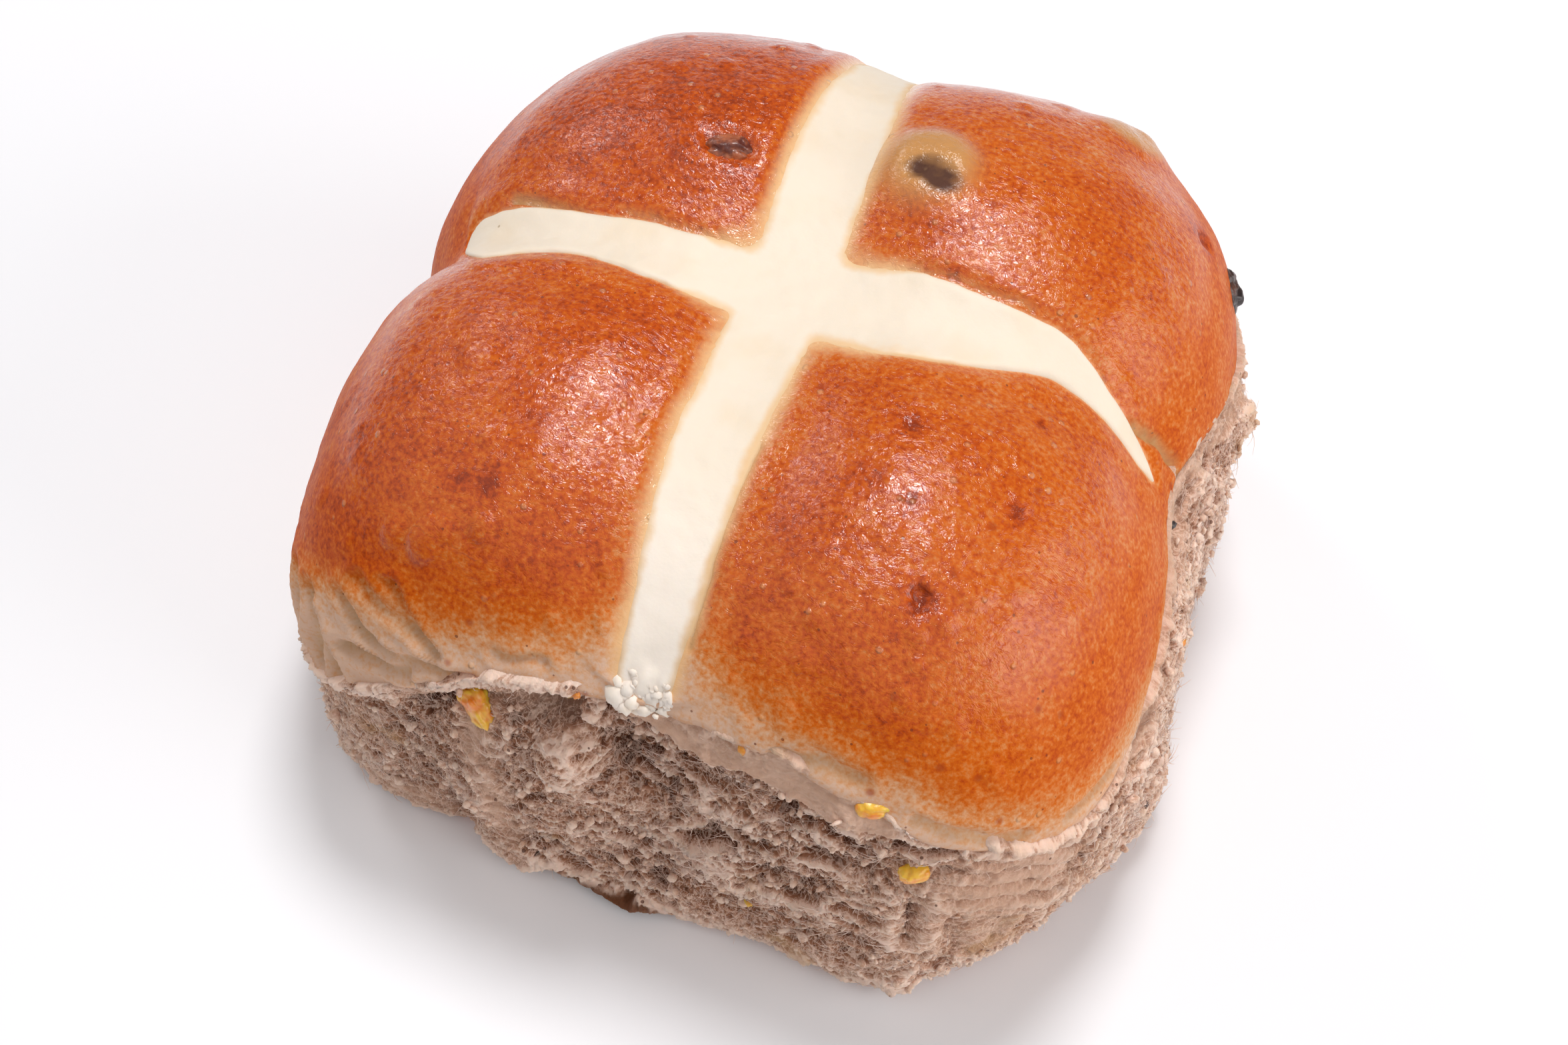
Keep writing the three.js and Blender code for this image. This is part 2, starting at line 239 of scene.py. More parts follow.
def gridQuads(rows, columns, closed):
    # quads of a grid whose rows climb and whose columns run anticlockwise, so that they face outwards
    r, c = np.meshgrid(np.arange(rows - 1), np.arange(columns if closed else columns - 1), indexing="ij")
    nextC = (c + 1) % columns
    corners = [r * columns + c, r * columns + nextC, (r + 1) * columns + nextC, (r + 1) * columns + c]
    return np.stack(corners, -1).reshape(-1, 4)


def fan(ring, apex, facingUp):
    # triangles from a ring of points to one point
    after = np.roll(ring, -1)
    apexes = np.full(len(ring), apex)
    return np.stack([ring, after, apexes] if facingUp else [after, ring, apexes], -1)


def makePiece(name, points, faceSets, material, attributes=None):
    # points in millimetres from the cross's centre; faceSets are arrays of corner numbers, 3 or 4 to a row
    points = (np.asarray(points, float) + np.array([*crossCentre, 0])) * mm
    mesh = bpy.data.meshes.new(name)
    loops = np.concatenate([faces.ravel() for faces in faceSets]).astype(np.int32)
    sizes = np.concatenate([np.full(len(faces), faces.shape[1], np.int32) for faces in faceSets])
    mesh.vertices.add(len(points))
    mesh.vertices.foreach_set("co", points.astype(np.float32).ravel())
    mesh.loops.add(len(loops))
    mesh.loops.foreach_set("vertex_index", loops)
    mesh.polygons.add(len(sizes))
    mesh.polygons.foreach_set("loop_start", np.concatenate([[0], np.cumsum(sizes)[:-1]]).astype(np.int32))
    mesh.polygons.foreach_set("loop_total", sizes)
    mesh.polygons.foreach_set("use_smooth", np.ones(len(sizes), bool))
    mesh.update(calc_edges=True)
    mesh.validate()
    for key, values in (attributes or {}).items():
        layer = mesh.attributes.new(key, "FLOAT", "POINT")
        layer.data.foreach_set("value", np.asarray(values, np.float32).ravel())
    mesh.materials.append(material)
    piece = bpy.data.objects.new(name, mesh)
    bpy.context.scene.collection.objects.link(piece)
    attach(piece, "root")
    print("made", name, len(points), "points")
    return piece


# materials


class Nodes:
    # short ways to add and join a material's nodes
    def __init__(self, name):
        self.material = bpy.data.materials.new(name)
        self.material.use_nodes = True
        self.tree = self.material.node_tree
        self.shader = self.tree.nodes["Principled BSDF"]

    def add(self, kind, inputs=None, **settings):
        node = self.tree.nodes.new(kind)
        for key, value in settings.items():
            setattr(node, key, value)
        for key, value in (inputs or {}).items():
            self.put(node.inputs[key], value)
        return node

    def put(self, socket, value):
        if isinstance(value, bpy.types.NodeSocket):
            self.tree.links.new(value, socket)
        else:
            socket.default_value = value

    def place(self):
        return self.add("ShaderNodeTexCoord").outputs["Object"]

    def attribute(self, name):
        return self.add("ShaderNodeAttribute", attribute_name=name).outputs["Fac"]

    def noise(self, scale, detail=2.0, rough=0.5, stretch=None, distortion=0.0):
        vector = self.place()
        if stretch:
            vector = self.add("ShaderNodeMapping", {"Vector": vector, "Scale": stretch}).outputs["Vector"]
        inputs = {"Vector": vector, "Scale": scale, "Detail": detail}
        inputs.update({"Roughness": rough, "Distortion": distortion})
        return self.add("ShaderNodeTexNoise", inputs).outputs["Fac"]

    def voronoi(self, scale, feature="F1"):
        return self.add("ShaderNodeTexVoronoi", {"Vector": self.place(), "Scale": scale}, feature=feature)

    def math(self, operation, a, b=0.0, clamp=False):
        node = self.add("ShaderNodeMath", operation=operation, use_clamp=clamp)
        self.put(node.inputs[0], a)
        self.put(node.inputs[1], b)
        return node.outputs[0]

    def times(self, a, b, clamp=False):
        return self.math("MULTIPLY", a, b, clamp)

    def plus(self, a, b, clamp=False):
        return self.math("ADD", a, b, clamp)

    def minus(self, a, b):
        return self.math("SUBTRACT", a, b)

    def between(self, value, low, high):
        # 0 at low, 1 at high
        inputs = {"Value": value, "From Min": low, "From Max": high}
        return self.add("ShaderNodeMapRange", inputs, interpolation_type="SMOOTHSTEP").outputs["Result"]

    def uneven(self, scale, detail=2.0, rough=0.5, by=1.0, **more):
        # noise about zero
        value = self.minus(self.noise(scale, detail, rough, **more), 0.5)
        return value if by == 1.0 else self.times(value, by)

    def specked(self, colour, dots, scale, size, strength):
        # dots of uneven size, at most one to a cell
        away = self.voronoi(scale).outputs["Distance"]
        dot = self.math("LESS_THAN", away, self.times(self.noise(300, 1.0), size))
        return self.mix(self.times(dot, strength), colour, dots)

    def mix(self, factor, a, b):
        node = self.add("ShaderNodeMix", data_type="RGBA")
        self.put(node.inputs[0], factor)
        for socket, colour in ((node.inputs[6], a), (node.inputs[7], b)):
            self.put(socket, (*colour, 1) if isinstance(colour, tuple) else colour)
        return node.outputs[2]

    def ramp(self, factor, stops):
        node = self.add("ShaderNodeValToRGB", {"Fac": factor})
        elements = node.color_ramp.elements
        while len(elements) < len(stops):
            elements.new(0.5)
        for element, (position, colour) in zip(elements, stops):
            element.position = position
            element.color = (*colour, 1)
        return node.outputs["Color"]

    def bump(self, height, distance, strength=1.0):
        inputs = {"Height": height, "Distance": distance * mm, "Strength": strength}
        return self.add("ShaderNodeBump", inputs).outputs["Normal"]

    def finish(self, **inputs):
        for key, value in inputs.items():
            self.put(self.shader.inputs[key.replace("_", " ")], value)
        return self.material


crustLook = {
    "stops": [
        (0.0, (0.7, 0.46, 0.33)), (0.22, (0.69, 0.36, 0.19)), (0.42, (0.64, 0.225, 0.065)),
        (0.62, (0.6, 0.122, 0.006)), (0.8, (0.49, 0.066, 0.002)), (1.0, (0.27, 0.03, 0.002)),
    ],
    "byPaste": (0.82, 0.5, 0.25), "fruitSkin": (0.56, 0.27, 0.09), "fruitDark": (0.075, 0.034, 0.028),
    # crease is a tan for the grooves and fold valleys: partly the crust's own colour, partly painted shade
    "crease": (0.47, 0.29, 0.13), "speck": (0.16, 0.03, 0.012), "speckGap": 1.5, "speckSize": 0.1,
    "freckle": (0.33, 0.035, 0.006), "freckleGap": 4.2, "freckleSize": 0.26, "wrinkle": 0.95,
    "pebble": 0.5, "bumpDepth": 0.11, "coatDepth": 0.08, "blisterGap": 2.1, "blisterSize": 0.34,
}


def crustMaterial():
    # a ramp of bake colours, mottled and speckled, under a thin glaze broken by fine leathery wrinkles
    look = crustLook
    n = Nodes("glazedCrust")
    bake = n.attribute("bake")
    mottle = n.uneven(420, 3.0, 0.6)
    fine = n.uneven(2300, 2.0, 0.6)
    level = n.plus(bake, n.times(mottle, 0.30))
    level = n.plus(level, n.times(fine, 0.85))
    colour = n.ramp(level, look["stops"])
    gap = look["speckGap"]
    colour = n.specked(colour, look["speck"], 1000 / gap, 2 * look["speckSize"] / gap, 0.7)
    freckles = n.voronoi(1000 / look["freckleGap"])
    ragged = n.plus(freckles.outputs["Distance"], n.times(fine, 0.05))
    widest = 2.0 * look["freckleSize"] / look["freckleGap"]
    freckle = n.between(ragged, widest, 0.3 * widest)
    colour = n.mix(n.times(freckle, 0.6), colour, look["freckle"])
    faded = n.plus(n.attribute("byPaste"), n.times(mottle, 0.5), clamp=True)
    faded = n.times(faded, n.between(n.attribute("byPaste"), 0.0, 0.15))
    colour = n.mix(faded, colour, look["byPaste"])
    colour = n.mix(n.attribute("fruitSkin"), colour, look["fruitSkin"])
    dark = n.plus(n.attribute("fruitDark"), n.times(mottle, 0.9), clamp=True)
    dark = n.times(dark, n.between(n.attribute("fruitDark"), 0.0, 0.3))
    colour = n.mix(n.times(dark, 0.95), colour, look["fruitDark"])
    # tan in the grooves beside the paste and in the fold valleys: partly own colour, partly painted shade
    colour = n.mix(n.times(n.attribute("crease"), 0.8), colour, look["crease"])
    blisters = n.voronoi(1000 / look["blisterGap"]).outputs["Distance"]
    widest = look["blisterSize"] / look["blisterGap"]
    blister = n.between(blisters, widest, 0.4 * widest)
    blister = n.times(blister, n.between(n.noise(160, 1.0), 0.46, 0.54))
    colour = n.mix(n.times(blister, 0.25), colour, look["byPaste"])
    wrinkle = n.uneven(1000 / look["wrinkle"], 3.0, 0.6, stretch=(1.0, 1.5, 1.0), distortion=1.6)
    ridge = n.math("ABSOLUTE", wrinkle)
    pebble = n.voronoi(1000 / look["pebble"], "SMOOTH_F1").outputs["Distance"]
    glaze = n.times(n.between(bake, 0.25, 0.6), n.attribute("gloss"))
    glaze = n.times(glaze, n.between(n.attribute("fruitDark"), 1.0, 0.2))
    height = n.plus(n.times(ridge, -1.5), n.times(pebble, 0.45))
    height = n.times(height, n.plus(0.35, n.times(glaze, 0.65)))
    height = n.plus(height, n.times(blister, 1.1))
    normal = n.bump(height, look["bumpDepth"])
    coatNormal = n.bump(height, look["coatDepth"])
    roughness = n.minus(0.60, n.times(glaze, 0.22))
    roughness = n.plus(roughness, n.times(mottle, 0.12))
    return n.finish(
        Base_Color=colour, Roughness=roughness, Normal=normal, Coat_Weight=glaze,
        Coat_Roughness=0.06, Coat_IOR=1.5, Coat_Normal=coatNormal, Specular_IOR_Level=0.05, IOR=1.45)


crumbLook = {
    # wall and pocket are the crumb darkened as painted shade deep in its cells; ridge and thread are its own
    # colour
    "ridge": (0.64, 0.385, 0.275), "wall": (0.335, 0.142, 0.075), "pocket": (0.135, 0.043, 0.017),
    "thread": (0.9, 0.66, 0.54), "skin": (0.59, 0.35, 0.235), "paleSkin": (0.71, 0.475, 0.36),
    "stain": (0.56, 0.32, 0.12), "speck": (0.13, 0.05, 0.03), "fibre": 0.38, "foot": (0.16, 0.055, 0.02),
}


def crumbMaterial():
    # pale ridges and painted shade in the pockets, with light threads, skin, stains, spice and a fibrous
    # bump
    look = crumbLook
    n = Nodes("tornCrumb")
    # the deep attribute carries painted shade: the ramp runs from pale ridges to painted shade in the
    # pockets
    deep = n.plus(n.attribute("deep"), n.uneven(900, 3.0, 0.6, by=0.5))
    stops = [(0.0, look["thread"]), (0.10, look["ridge"]), (0.38, look["wall"]), (0.85, look["pocket"])]
    colour = n.ramp(deep, stops)
    for size, strength in ((1.6, 0.6), (0.75, 0.5)):
        web = n.math("ABSOLUTE", n.uneven(1000 / size, 2.0, 0.6, distortion=1.2))
        colour = n.mix(n.times(n.between(web, 0.055, 0.0), strength), colour, look["thread"])
    colour = n.mix(n.attribute("skinLike"), colour, n.mix(n.noise(350, 2.0), look["skin"], look["paleSkin"]))
    stain = n.between(n.noise(150, 2.0), 0.62, 0.75)
    colour = n.mix(n.times(stain, 0.35), colour, look["stain"])
    colour = n.specked(colour, look["speck"], 620, 0.17, 0.8)
    colour = n.mix(n.attribute("baseBrown"), colour, look["foot"])
    fibre = n.noise(1000 / look["fibre"], 4.0, 0.7, stretch=(0.7, 0.7, 1.5), distortion=1.0)
    web = n.voronoi(1700, "DISTANCE_TO_EDGE").outputs["Distance"]
    height = n.plus(fibre, n.times(web, -0.6))
    return n.finish(
        Base_Color=colour, Roughness=0.82, Normal=n.bump(height, 0.16, 0.8), Subsurface_Weight=0.2,
        Subsurface_Radius=(1.3 * mm, 0.8 * mm, 0.5 * mm), Subsurface_Scale=1.0, IOR=1.35)


pasteLook = {
    "cream": (0.82, 0.715, 0.585), "warm": (0.78, 0.62, 0.43), "edge": (0.79, 0.53, 0.29),
    # pale is partly the near arm's less-baked paste and partly painted light on its slope and end
    "speck": (0.35, 0.22, 0.1), "pale": (0.97, 0.86, 0.755),
}


def pasteMaterial():
    # cream with warmer patches, browner at the edges and paler down the near arm, partly as painted light
    look = pasteLook
    n = Nodes("bakedPaste")
    patch = n.between(n.noise(150, 3.0), 0.48, 0.75)
    colour = n.mix(n.times(patch, 0.45), look["cream"], look["warm"])
    # the pale attribute paints light down the near arm, besides its less-baked paste
    colour = n.mix(n.attribute("pale"), colour, look["pale"])
    ragged = n.plus(n.attribute("edge"), n.uneven(900, 3.0, by=0.6))
    colour = n.mix(n.between(ragged, 0.15, 1.05), colour, look["edge"])
    colour = n.specked(colour, look["speck"], 260, 0.055, 0.6)
    height = n.plus(n.noise(1100, 3.0, 0.6), n.times(n.noise(380, 2.0), 1.2))
    return n.finish(
        Base_Color=colour, Roughness=0.55, Normal=n.bump(height, 0.06, 0.7), Subsurface_Weight=0.15,
        Subsurface_Radius=(1.2 * mm, 0.9 * mm, 0.6 * mm), Subsurface_Scale=1.0, IOR=1.4)


fruitLooks = {
    "sultana": {"dark": (0.07, 0.03, 0.022), "light": (0.3, 0.15, 0.06), "size": 420, "weight": 0.2},
    "raisin": {"dark": (0.018, 0.008, 0.007), "light": (0.1, 0.035, 0.02), "size": 520, "weight": 0.05},
    "currant": {"dark": (0.1, 0.016, 0.008), "light": (0.45, 0.13, 0.05), "size": 600, "weight": 0.15},
    "peel": {"dark": (0.78, 0.22, 0.012), "light": (0.86, 0.52, 0.04), "size": 500, "weight": 0.5},
}


def fruitMaterial(kind):
    # two colours in patches under a thin shine
    look = fruitLooks[kind]
    n = Nodes("dried" + kind.capitalize())
    patch = n.between(n.noise(look["size"], 3.0, 0.6), 0.38, 0.64)
    colour = n.mix(patch, look["dark"], look["light"])
    height = n.noise(1400, 3.0, 0.6, distortion=0.8)
    roughness = n.plus(0.26, n.times(n.noise(700, 2.0), 0.25))
    return n.finish(
        Base_Color=colour, Roughness=roughness, Normal=n.bump(height, 0.12, 0.8), Coat_Weight=0.4,
        Coat_Roughness=0.2, Subsurface_Weight=look["weight"],
        Subsurface_Radius=(1.2 * mm, 0.5 * mm, 0.2 * mm), Subsurface_Scale=1.0)


crustSkin = crustMaterial()
crumbSkin = crumbMaterial()
pasteSkin = pasteMaterial()
fruitSkins = {kind: fruitMaterial(kind) for kind in fruitLooks}
print("materials ready")

# the arms of the cross in plan

arms = {
    # how far an arm's middle stands off its axis, and its width, along it
    "x": {
        "offset": [
            (-29, -0.7), (-25, -0.6), (-21, 0.1), (-17, 0.4), (-12, 0.2), (-6, 0.2), (0, 0.7), (6, 0.8),
            (12, 1.2), (16, 1.8), (20, 2.6), (22, 2.5), (24, 1.9), (27, 0.7), (30, -0.2), (33, -0.8),
        ],
        "width": [
            (-29, 6.0), (-25, 6.4), (-21, 5.0), (-18, 4.3), (-14, 5.2), (-9, 5.9), (0, 7.0), (8, 8.6),
            (12, 7.6), (16, 5.9), (20, 4.2), (24, 2.9), (27, 2.2), (30, 1.6), (32, 1.2),
        ],
    },
    "y": {
        "offset": [
            (-32, -0.1), (-26, -0.2), (-21, -0.6), (-15, -0.9), (-8, -0.7), (0, -0.7), (8, -1.3),
            (16, -1.4), (22, -1.6), (33, -1.9),
        ],
        "width": [
            (-32, 4.8), (-26, 5.4), (-21, 5.9), (-15, 6.4), (-8, 6.8), (0, 6.8), (8, 7.0), (14, 7.4),
            (20, 6.5), (26, 5.6), (33, 5.0),
        ],
    },
}
armEnds = {"x": (-28.1, 30.6), "y": (-32.0, 33.6)}
armRounds = {"x": 2.0, "y": 0.7}  # how far back an arm's end begins to round
armSlants = {"x": 0.47, "y": 0.0}  # how much the low end is cut aslant


def alongArm(run, places):
    # a curve through (run, value) pairs, softened over a couple of millimetres
    at, value = zip(*places)
    return sum(np.interp(run + step, at, value) for step in (-1.6, -0.8, 0, 0.8, 1.6)) / 5


def insideArm(x, y, along):
    # how far a point lies inside an arm's edge, in millimetres, negative outside; the ends are round
    arm = arms[along]
    run, side = (x, y) if along == "x" else (y, x)
    low, high = armEnds[along]
    half = alongArm(run, arm["width"]) / 2
    wobble = 0.10 * noise([x, y], 3.4, 31) + 0.06 * noise([x, y], 0.9, 32)
    back = armRounds[along]
    side = side - alongArm(run, arm["offset"])
    past = np.maximum(0, np.maximum(low + back - run - armSlants[along] * side, run - high + back)) / back
    rounding = half * (1 - np.sqrt(np.clip(1 - past * past, 0, 1)))
    return half - np.abs(side) - rounding - 3 * np.maximum(past - 1, 0) + wobble


def softEdge(x, y):
    # 1 where the paste fades into the crust, along the near and far arms, 0 where it ends in a clean step
    return 1 - smooth(np.abs(x), 6.5, 9.5)


def insideCross(x, y):
    # the two arms joined with a fillet: a smooth maximum of the two distances
    a, b = insideArm(x, y, "x"), insideArm(x, y, "y")
    soft = 0.55
    return soft * np.logaddexp(a / soft, b / soft)


# crust

crustGrid = {
    "columns": 550, "base": 6, "side": 40, "dome": 134, "finer": 1.3, "finerAt": -100, "finerWide": 52,
}
crustRelief = {
    "lumps": [(14, 0.38), (6.5, 0.2), (2.6, 0.08), (1.2, 0.035)],
    "folds": {"at": -146, "wide": 11, "height": 21, "tall": 6.0, "deep": 0.55, "pitch": 4.4, "lean": 0.18},
    # the height where the pale lower edge begins to brown, round the bun
    "paleStart": [
        (-180, 10), (-160, 16), (-140, 23), (-128, 30.5), (-120, 31), (-108, 33.3), (-92, 34.6),
        (-72, 33.6), (-60, 31.6), (-50, 27.5), (-40, 25.5), (-30, 23.6), (-20, 23.6), (-10, 25), (0, 26),
        (10, 26), (22, 24), (34, 18), (46, 8), (60, -4), (140, -6), (160, 0),
    ],
    "fade": 7.5,
}
pits = [
    (17.9, -22.4, 0.9, 0.75), (28.3, 22.3, 0.8, 0.5), (12.9, -9.8, 0.6, 0.3), (14.9, -16.1, 0.6, 0.2),
    (21.6, -4.5, 0.5, 0.2),
]
reddened = [
    (14.9, -16.1, 0.9), (22.4, -13.3, 0.6), (28.0, 22.3, 1.3), (-15.2, -24.1, 0.9), (-17.6, -24.2, 0.7),
    (17.9, -22.4, 1.2), (12.9, -9.8, 0.9), (11.2, 5.6, 0.6), (21.6, -4.5, 0.6),
]
bubbles = [
    (-18.8, -28.2, 1.5, 0.42), (-17.6, -27.6, 0.9, 0.3), (-14.6, -26.9, 1.0, 0.3),
    (-21.7, -28.1, 1.0, 0.25), (-20.0, -14.5, 1.8, 0.2),
]
creases = {
    # bearing and height of one end, of the other, depth, half-width
    "crust": [
        (-129.5, 32.0, -123.0, 30.0, 0.75, 0.6), (-128.2, 34.4, -119.5, 33.0, 0.55, 0.5),
        (-124.4, 35.6, -116.5, 32.2, 0.7, 0.55), (-121.5, 30.0, -112.0, 31.4, 0.7, 0.5),
        (-131.8, 27.4, -127.5, 23.6, 0.8, 0.6), (-134.5, 29.0, -130.5, 23.0, 0.8, 0.7),
        (-138.5, 27.5, -134.5, 20.0, 0.8, 0.8), (-143.0, 26.0, -140.5, 18.0, 0.7, 0.8),
        (-148.0, 25.0, -147.0, 17.0, 0.5, 0.9), (-128.0, 27.6, -119.5, 29.2, 0.7, 0.55),
        (-137.0, 25.0, -132.5, 21.0, 0.6, 0.6), (-71.0, 34.6, -63.0, 34.2, 0.5, 0.8),
        (-57.0, 31.0, -46.0, 28.2, 0.45, 0.5), (-40.0, 27.5, -32.0, 26.0, 0.45, 0.5),
        (-110.0, 34.6, -103.0, 35.6, 0.4, 0.5),
    ],
    # the same on the torn face
    "crumb": [
        (-56.6, 20.0, -56.0, 13.0, 0.9, 0.7), (-65.0, 27.0, -60.0, 25.0, 0.9, 0.9),
        (-52.0, 17.0, -50.5, 9.0, 0.5, 1.0), (-46.5, 15.0, -46.0, 8.0, 0.4, 0.9),
        (-41.0, 14.0, -41.5, 6.0, 0.5, 1.0), (-119.0, 24.5, -113.6, 27.5, 0.9, 0.9),
        (-26.0, 24.0, -8.0, 27.5, 0.8, 0.7), (-6.0, 28.0, 8.0, 30.0, 0.7, 0.8),
    ],
}


def awayFrom(x, y, start, end):
    # distance to the nearest point of a straight line
    way = end - start
    share = np.clip(((x - start[0]) * way[0] + (y - start[1]) * way[1]) / (way @ way), 0, 1)
    return np.hypot(x - start[0] - share * way[0], y - start[1] - share * way[1])


def creasesAt(theta, height, lines, seed):
    # grooves with raised edges: depth times a bell of the distance to each line, which wanders a little
    perDegree = 0.63  # millimetres round the bun
    across, up = theta / deg * perDegree, height
    across = across + 0.5 * noise([across, up], 2.6, seed)
    up = up + 0.5 * noise([across, up], 2.2, seed + 1)
    depth = 0
    for fromTheta, fromUp, toTheta, toUp, deep, wide in lines:
        start, end = np.array([fromTheta * perDegree, fromUp]), np.array([toTheta * perDegree, toUp])
        away = awayFrom(across, up, start, end)
        depth = depth + deep * (bell(away / wide) - 0.35 * bell((away - 2 * wide) / wide))
    return depth


# grooves beside the paste: ends in plan, depth and half-width
plainCreases = [
    (27.6, 1.7, 31.8, 3.4, 0.9, 0.3), (-25.4, 3.3, -19.2, 2.5, 0.55, 0.3),
    (-15.6, 3.3, -6.5, 3.2, 0.3, 0.22), (8.0, 5.6, 18.0, 5.2, 0.22, 0.2),
    (2.3, -14.0, 2.2, -20.0, 0.22, 0.2), (2.2, -20.0, 2.7, -29.0, 0.3, 0.22),
]


def plainCreasesAt(x, y):
    # the same grooves laid out in plan, their lines wandering a little
    x, y = x + 0.2 * noise([x, y], 1.3, 47), y + 0.2 * noise([x, y], 1.3, 48)
    depth = 0
    for startX, startY, endX, endY, deep, wide in plainCreases:
        away = awayFrom(x, y, np.array([startX, startY]), np.array([endX, endY]))
        depth = depth + deep * bell(away / wide)
    return depth


def scatteredBubbles():
    # small blisters over the front of the two near lobes and a few elsewhere
    pick = np.random.default_rng(5)
    x, y = pick.uniform(-31, 31, 220), pick.uniform(-33, 31, 220)
    keep = (insideCross(x, y) < -1.2) & ((y < -14) | (pick.random(220) < 0.35)) & (np.hypot(x, y) < 40)
    size = pick.uniform(0.45, 0.9, 220)
    return bubbles + [(a, b, r, 0.2 * r) for a, b, r in zip(x[keep], y[keep], size[keep])]


def domeOf(x, y, places):
    # the highest of the small domes at a point
    height = np.zeros(x.shape)
    for px, py, radius, tall in places:
        away = np.hypot(x - px, y - py) / radius
        cap = np.sqrt(np.clip(1 - away * away, 0, 1))
        height = np.maximum(height, tall * cap)
    return height


def foldsAt(theta, height):
    # soft upright folds at the front left corner: a raised cosine round the bun, leaning with height
    f = crustRelief["folds"]
    along = turnBetween(theta, f["at"] * deg)
    wander = 0.35 * noise([theta * 36, height], 5.0, 41)
    phase = 2 * np.pi * (along / (f["pitch"] * deg) + f["lean"] * (height - f["height"]) / 2 + wander)
    window = bell(along / (f["wide"] * deg)) * bell((height - f["height"]) / f["tall"])
    upright = f["deep"] * window * (0.5 + 0.5 * np.cos(phase)) ** 0.8
    return upright + creasesAt(theta, height, creases["crust"], 43)


fruitUnder = {
    # fruit under the crust or sunk in it: its middle, reach across and along, and rise
    "sultana": {"at": (6.0, 13.9), "reach": (4.0, 3.6), "rise": 1.35},
    "rim": {"at": (19.6, 28.4), "reach": (3.4, 3.0), "rise": 1.1},
    "currant": {"reach": (3.6, 2.8), "rise": 0.3},
    # the sunk part: its middle, reach and depth
    "sultanaHole": {"at": (6.9, 12.5), "reach": (3.0, 1.5), "slant": 0.12, "deep": 0.5},
    "currantHole": {"reach": (2.3, 1.35), "deep": 0.6},
}


def ovalAway(x, y, form, at):
    # how many times an oval's reach a place in plan lies from its middle
    along = y - at[1] + form.get("slant", 0) * (x - at[0])
    return np.hypot((x - at[0]) / form["reach"][0], along / form["reach"][1])


def fruitSwellings(x, y, top):
    # the crust's rise over fruit and its sink where fruit shows, and how far it is fruit skin or dark fruit
    f = fruitUnder
    sultana, rim, sunk = f["sultana"], f["rim"], f["sultanaHole"]
    over = bell(ovalAway(x, y, sultana, sultana["at"]) ** 2.0) * top
    hole = smooth(1.2 - ovalAway(x, y, sunk, sunk["at"]), 0, 0.9) * top
    left = nodeMiddle("currant_left")
    dip = smooth(1.25 - ovalAway(x, y, f["currantHole"], left), 0, 0.5) * top
    around = bell(ovalAway(x, y, f["currant"], left)) * top
    rimRise = bell(ovalAway(x, y, rim, rim["at"]) ** 1.4)
    skinned = np.clip(1.15 * over + 0.9 * smooth(rimRise, 0.35, 0.8), 0, 1)
    wrinkled = 0.45 * hole * np.abs(noise([x, y], 0.8, 62))
    lift = sultana["rise"] * over - sunk["deep"] * hole - wrinkled
    lift = lift + f["currant"]["rise"] * around - f["currantHole"]["deep"] * dip + rim["rise"] * rimRise
    return lift, skinned, smooth(hole, 0.05, 0.9)


def plainCrust(theta, height):
    # the skin moved in and out by lumps of several sizes, along the direction out of a point low in the bun
    point = skin(theta, height)
    x, y, z = np.moveaxis(point, -1, 0)
    outward = np.stack([x, y, np.maximum(z - 12, 0) * 1.3], -1)
    outward = outward / np.linalg.norm(outward, axis=-1, keepdims=True)
    lift = sum(deep * layered([x, y, z], size, 50 + k, 2)
               for k, (size, deep) in enumerate(crustRelief["lumps"]))
    return point + outward * (lift * smooth(z, 0, 3))[..., None], outward


def crustUnder(x, y):
    # the plain crust under a place in plan, and the direction out of it
    return plainCrust(np.arctan2(y, x), onDome(domeShare(x, y)))


def crustPoint(theta, height):
    # the plain crust with its bubbles, pits, folds, the hollow under the paste and the rise over fruit
    point, outward = plainCrust(theta, height)
    x, y, z = np.moveaxis(point, -1, 0)
    top = smooth(z, 33, 39)
    lift = domeOf(x, y, allBubbles) * smooth(z, 28, 33)
    for px, py, radius, deep in pits:
        jag = 0.3 * noise([x, y], 0.7, 61)
        lift = lift - deep * smooth(1.2 - np.hypot(x - px, y - py) / radius + jag, 0, 0.8) * top
    inside = insideCross(x, y)
    beside = smooth(z, 26, 32)
    lift = lift + beside * (0.28 * bell((inside + 1.3) / 1.1) - 0.9 * smooth(inside, 0.2, 1.4))
    rise, fruitCover, fruitDark = fruitSwellings(x, y, smooth(z, 35, 39))
    groove = plainCreasesAt(x, y) * beside
    lift = lift + rise - groove
    point = point + outward * lift[..., None] - outwardOf(theta) * foldsAt(theta, height)[..., None]
    fade = pasteFade(x, y, inside) * smooth(z, 28, 33)
    looks = {"byPaste": fade, "fruitSkin": fruitCover, "inside": inside, "fruitDark": fruitDark}
    # crease holds the groove depth beside the paste, for the tan that is partly painted shade
    return point, {**looks, "crease": np.clip(groove / 0.5, 0, 1)}


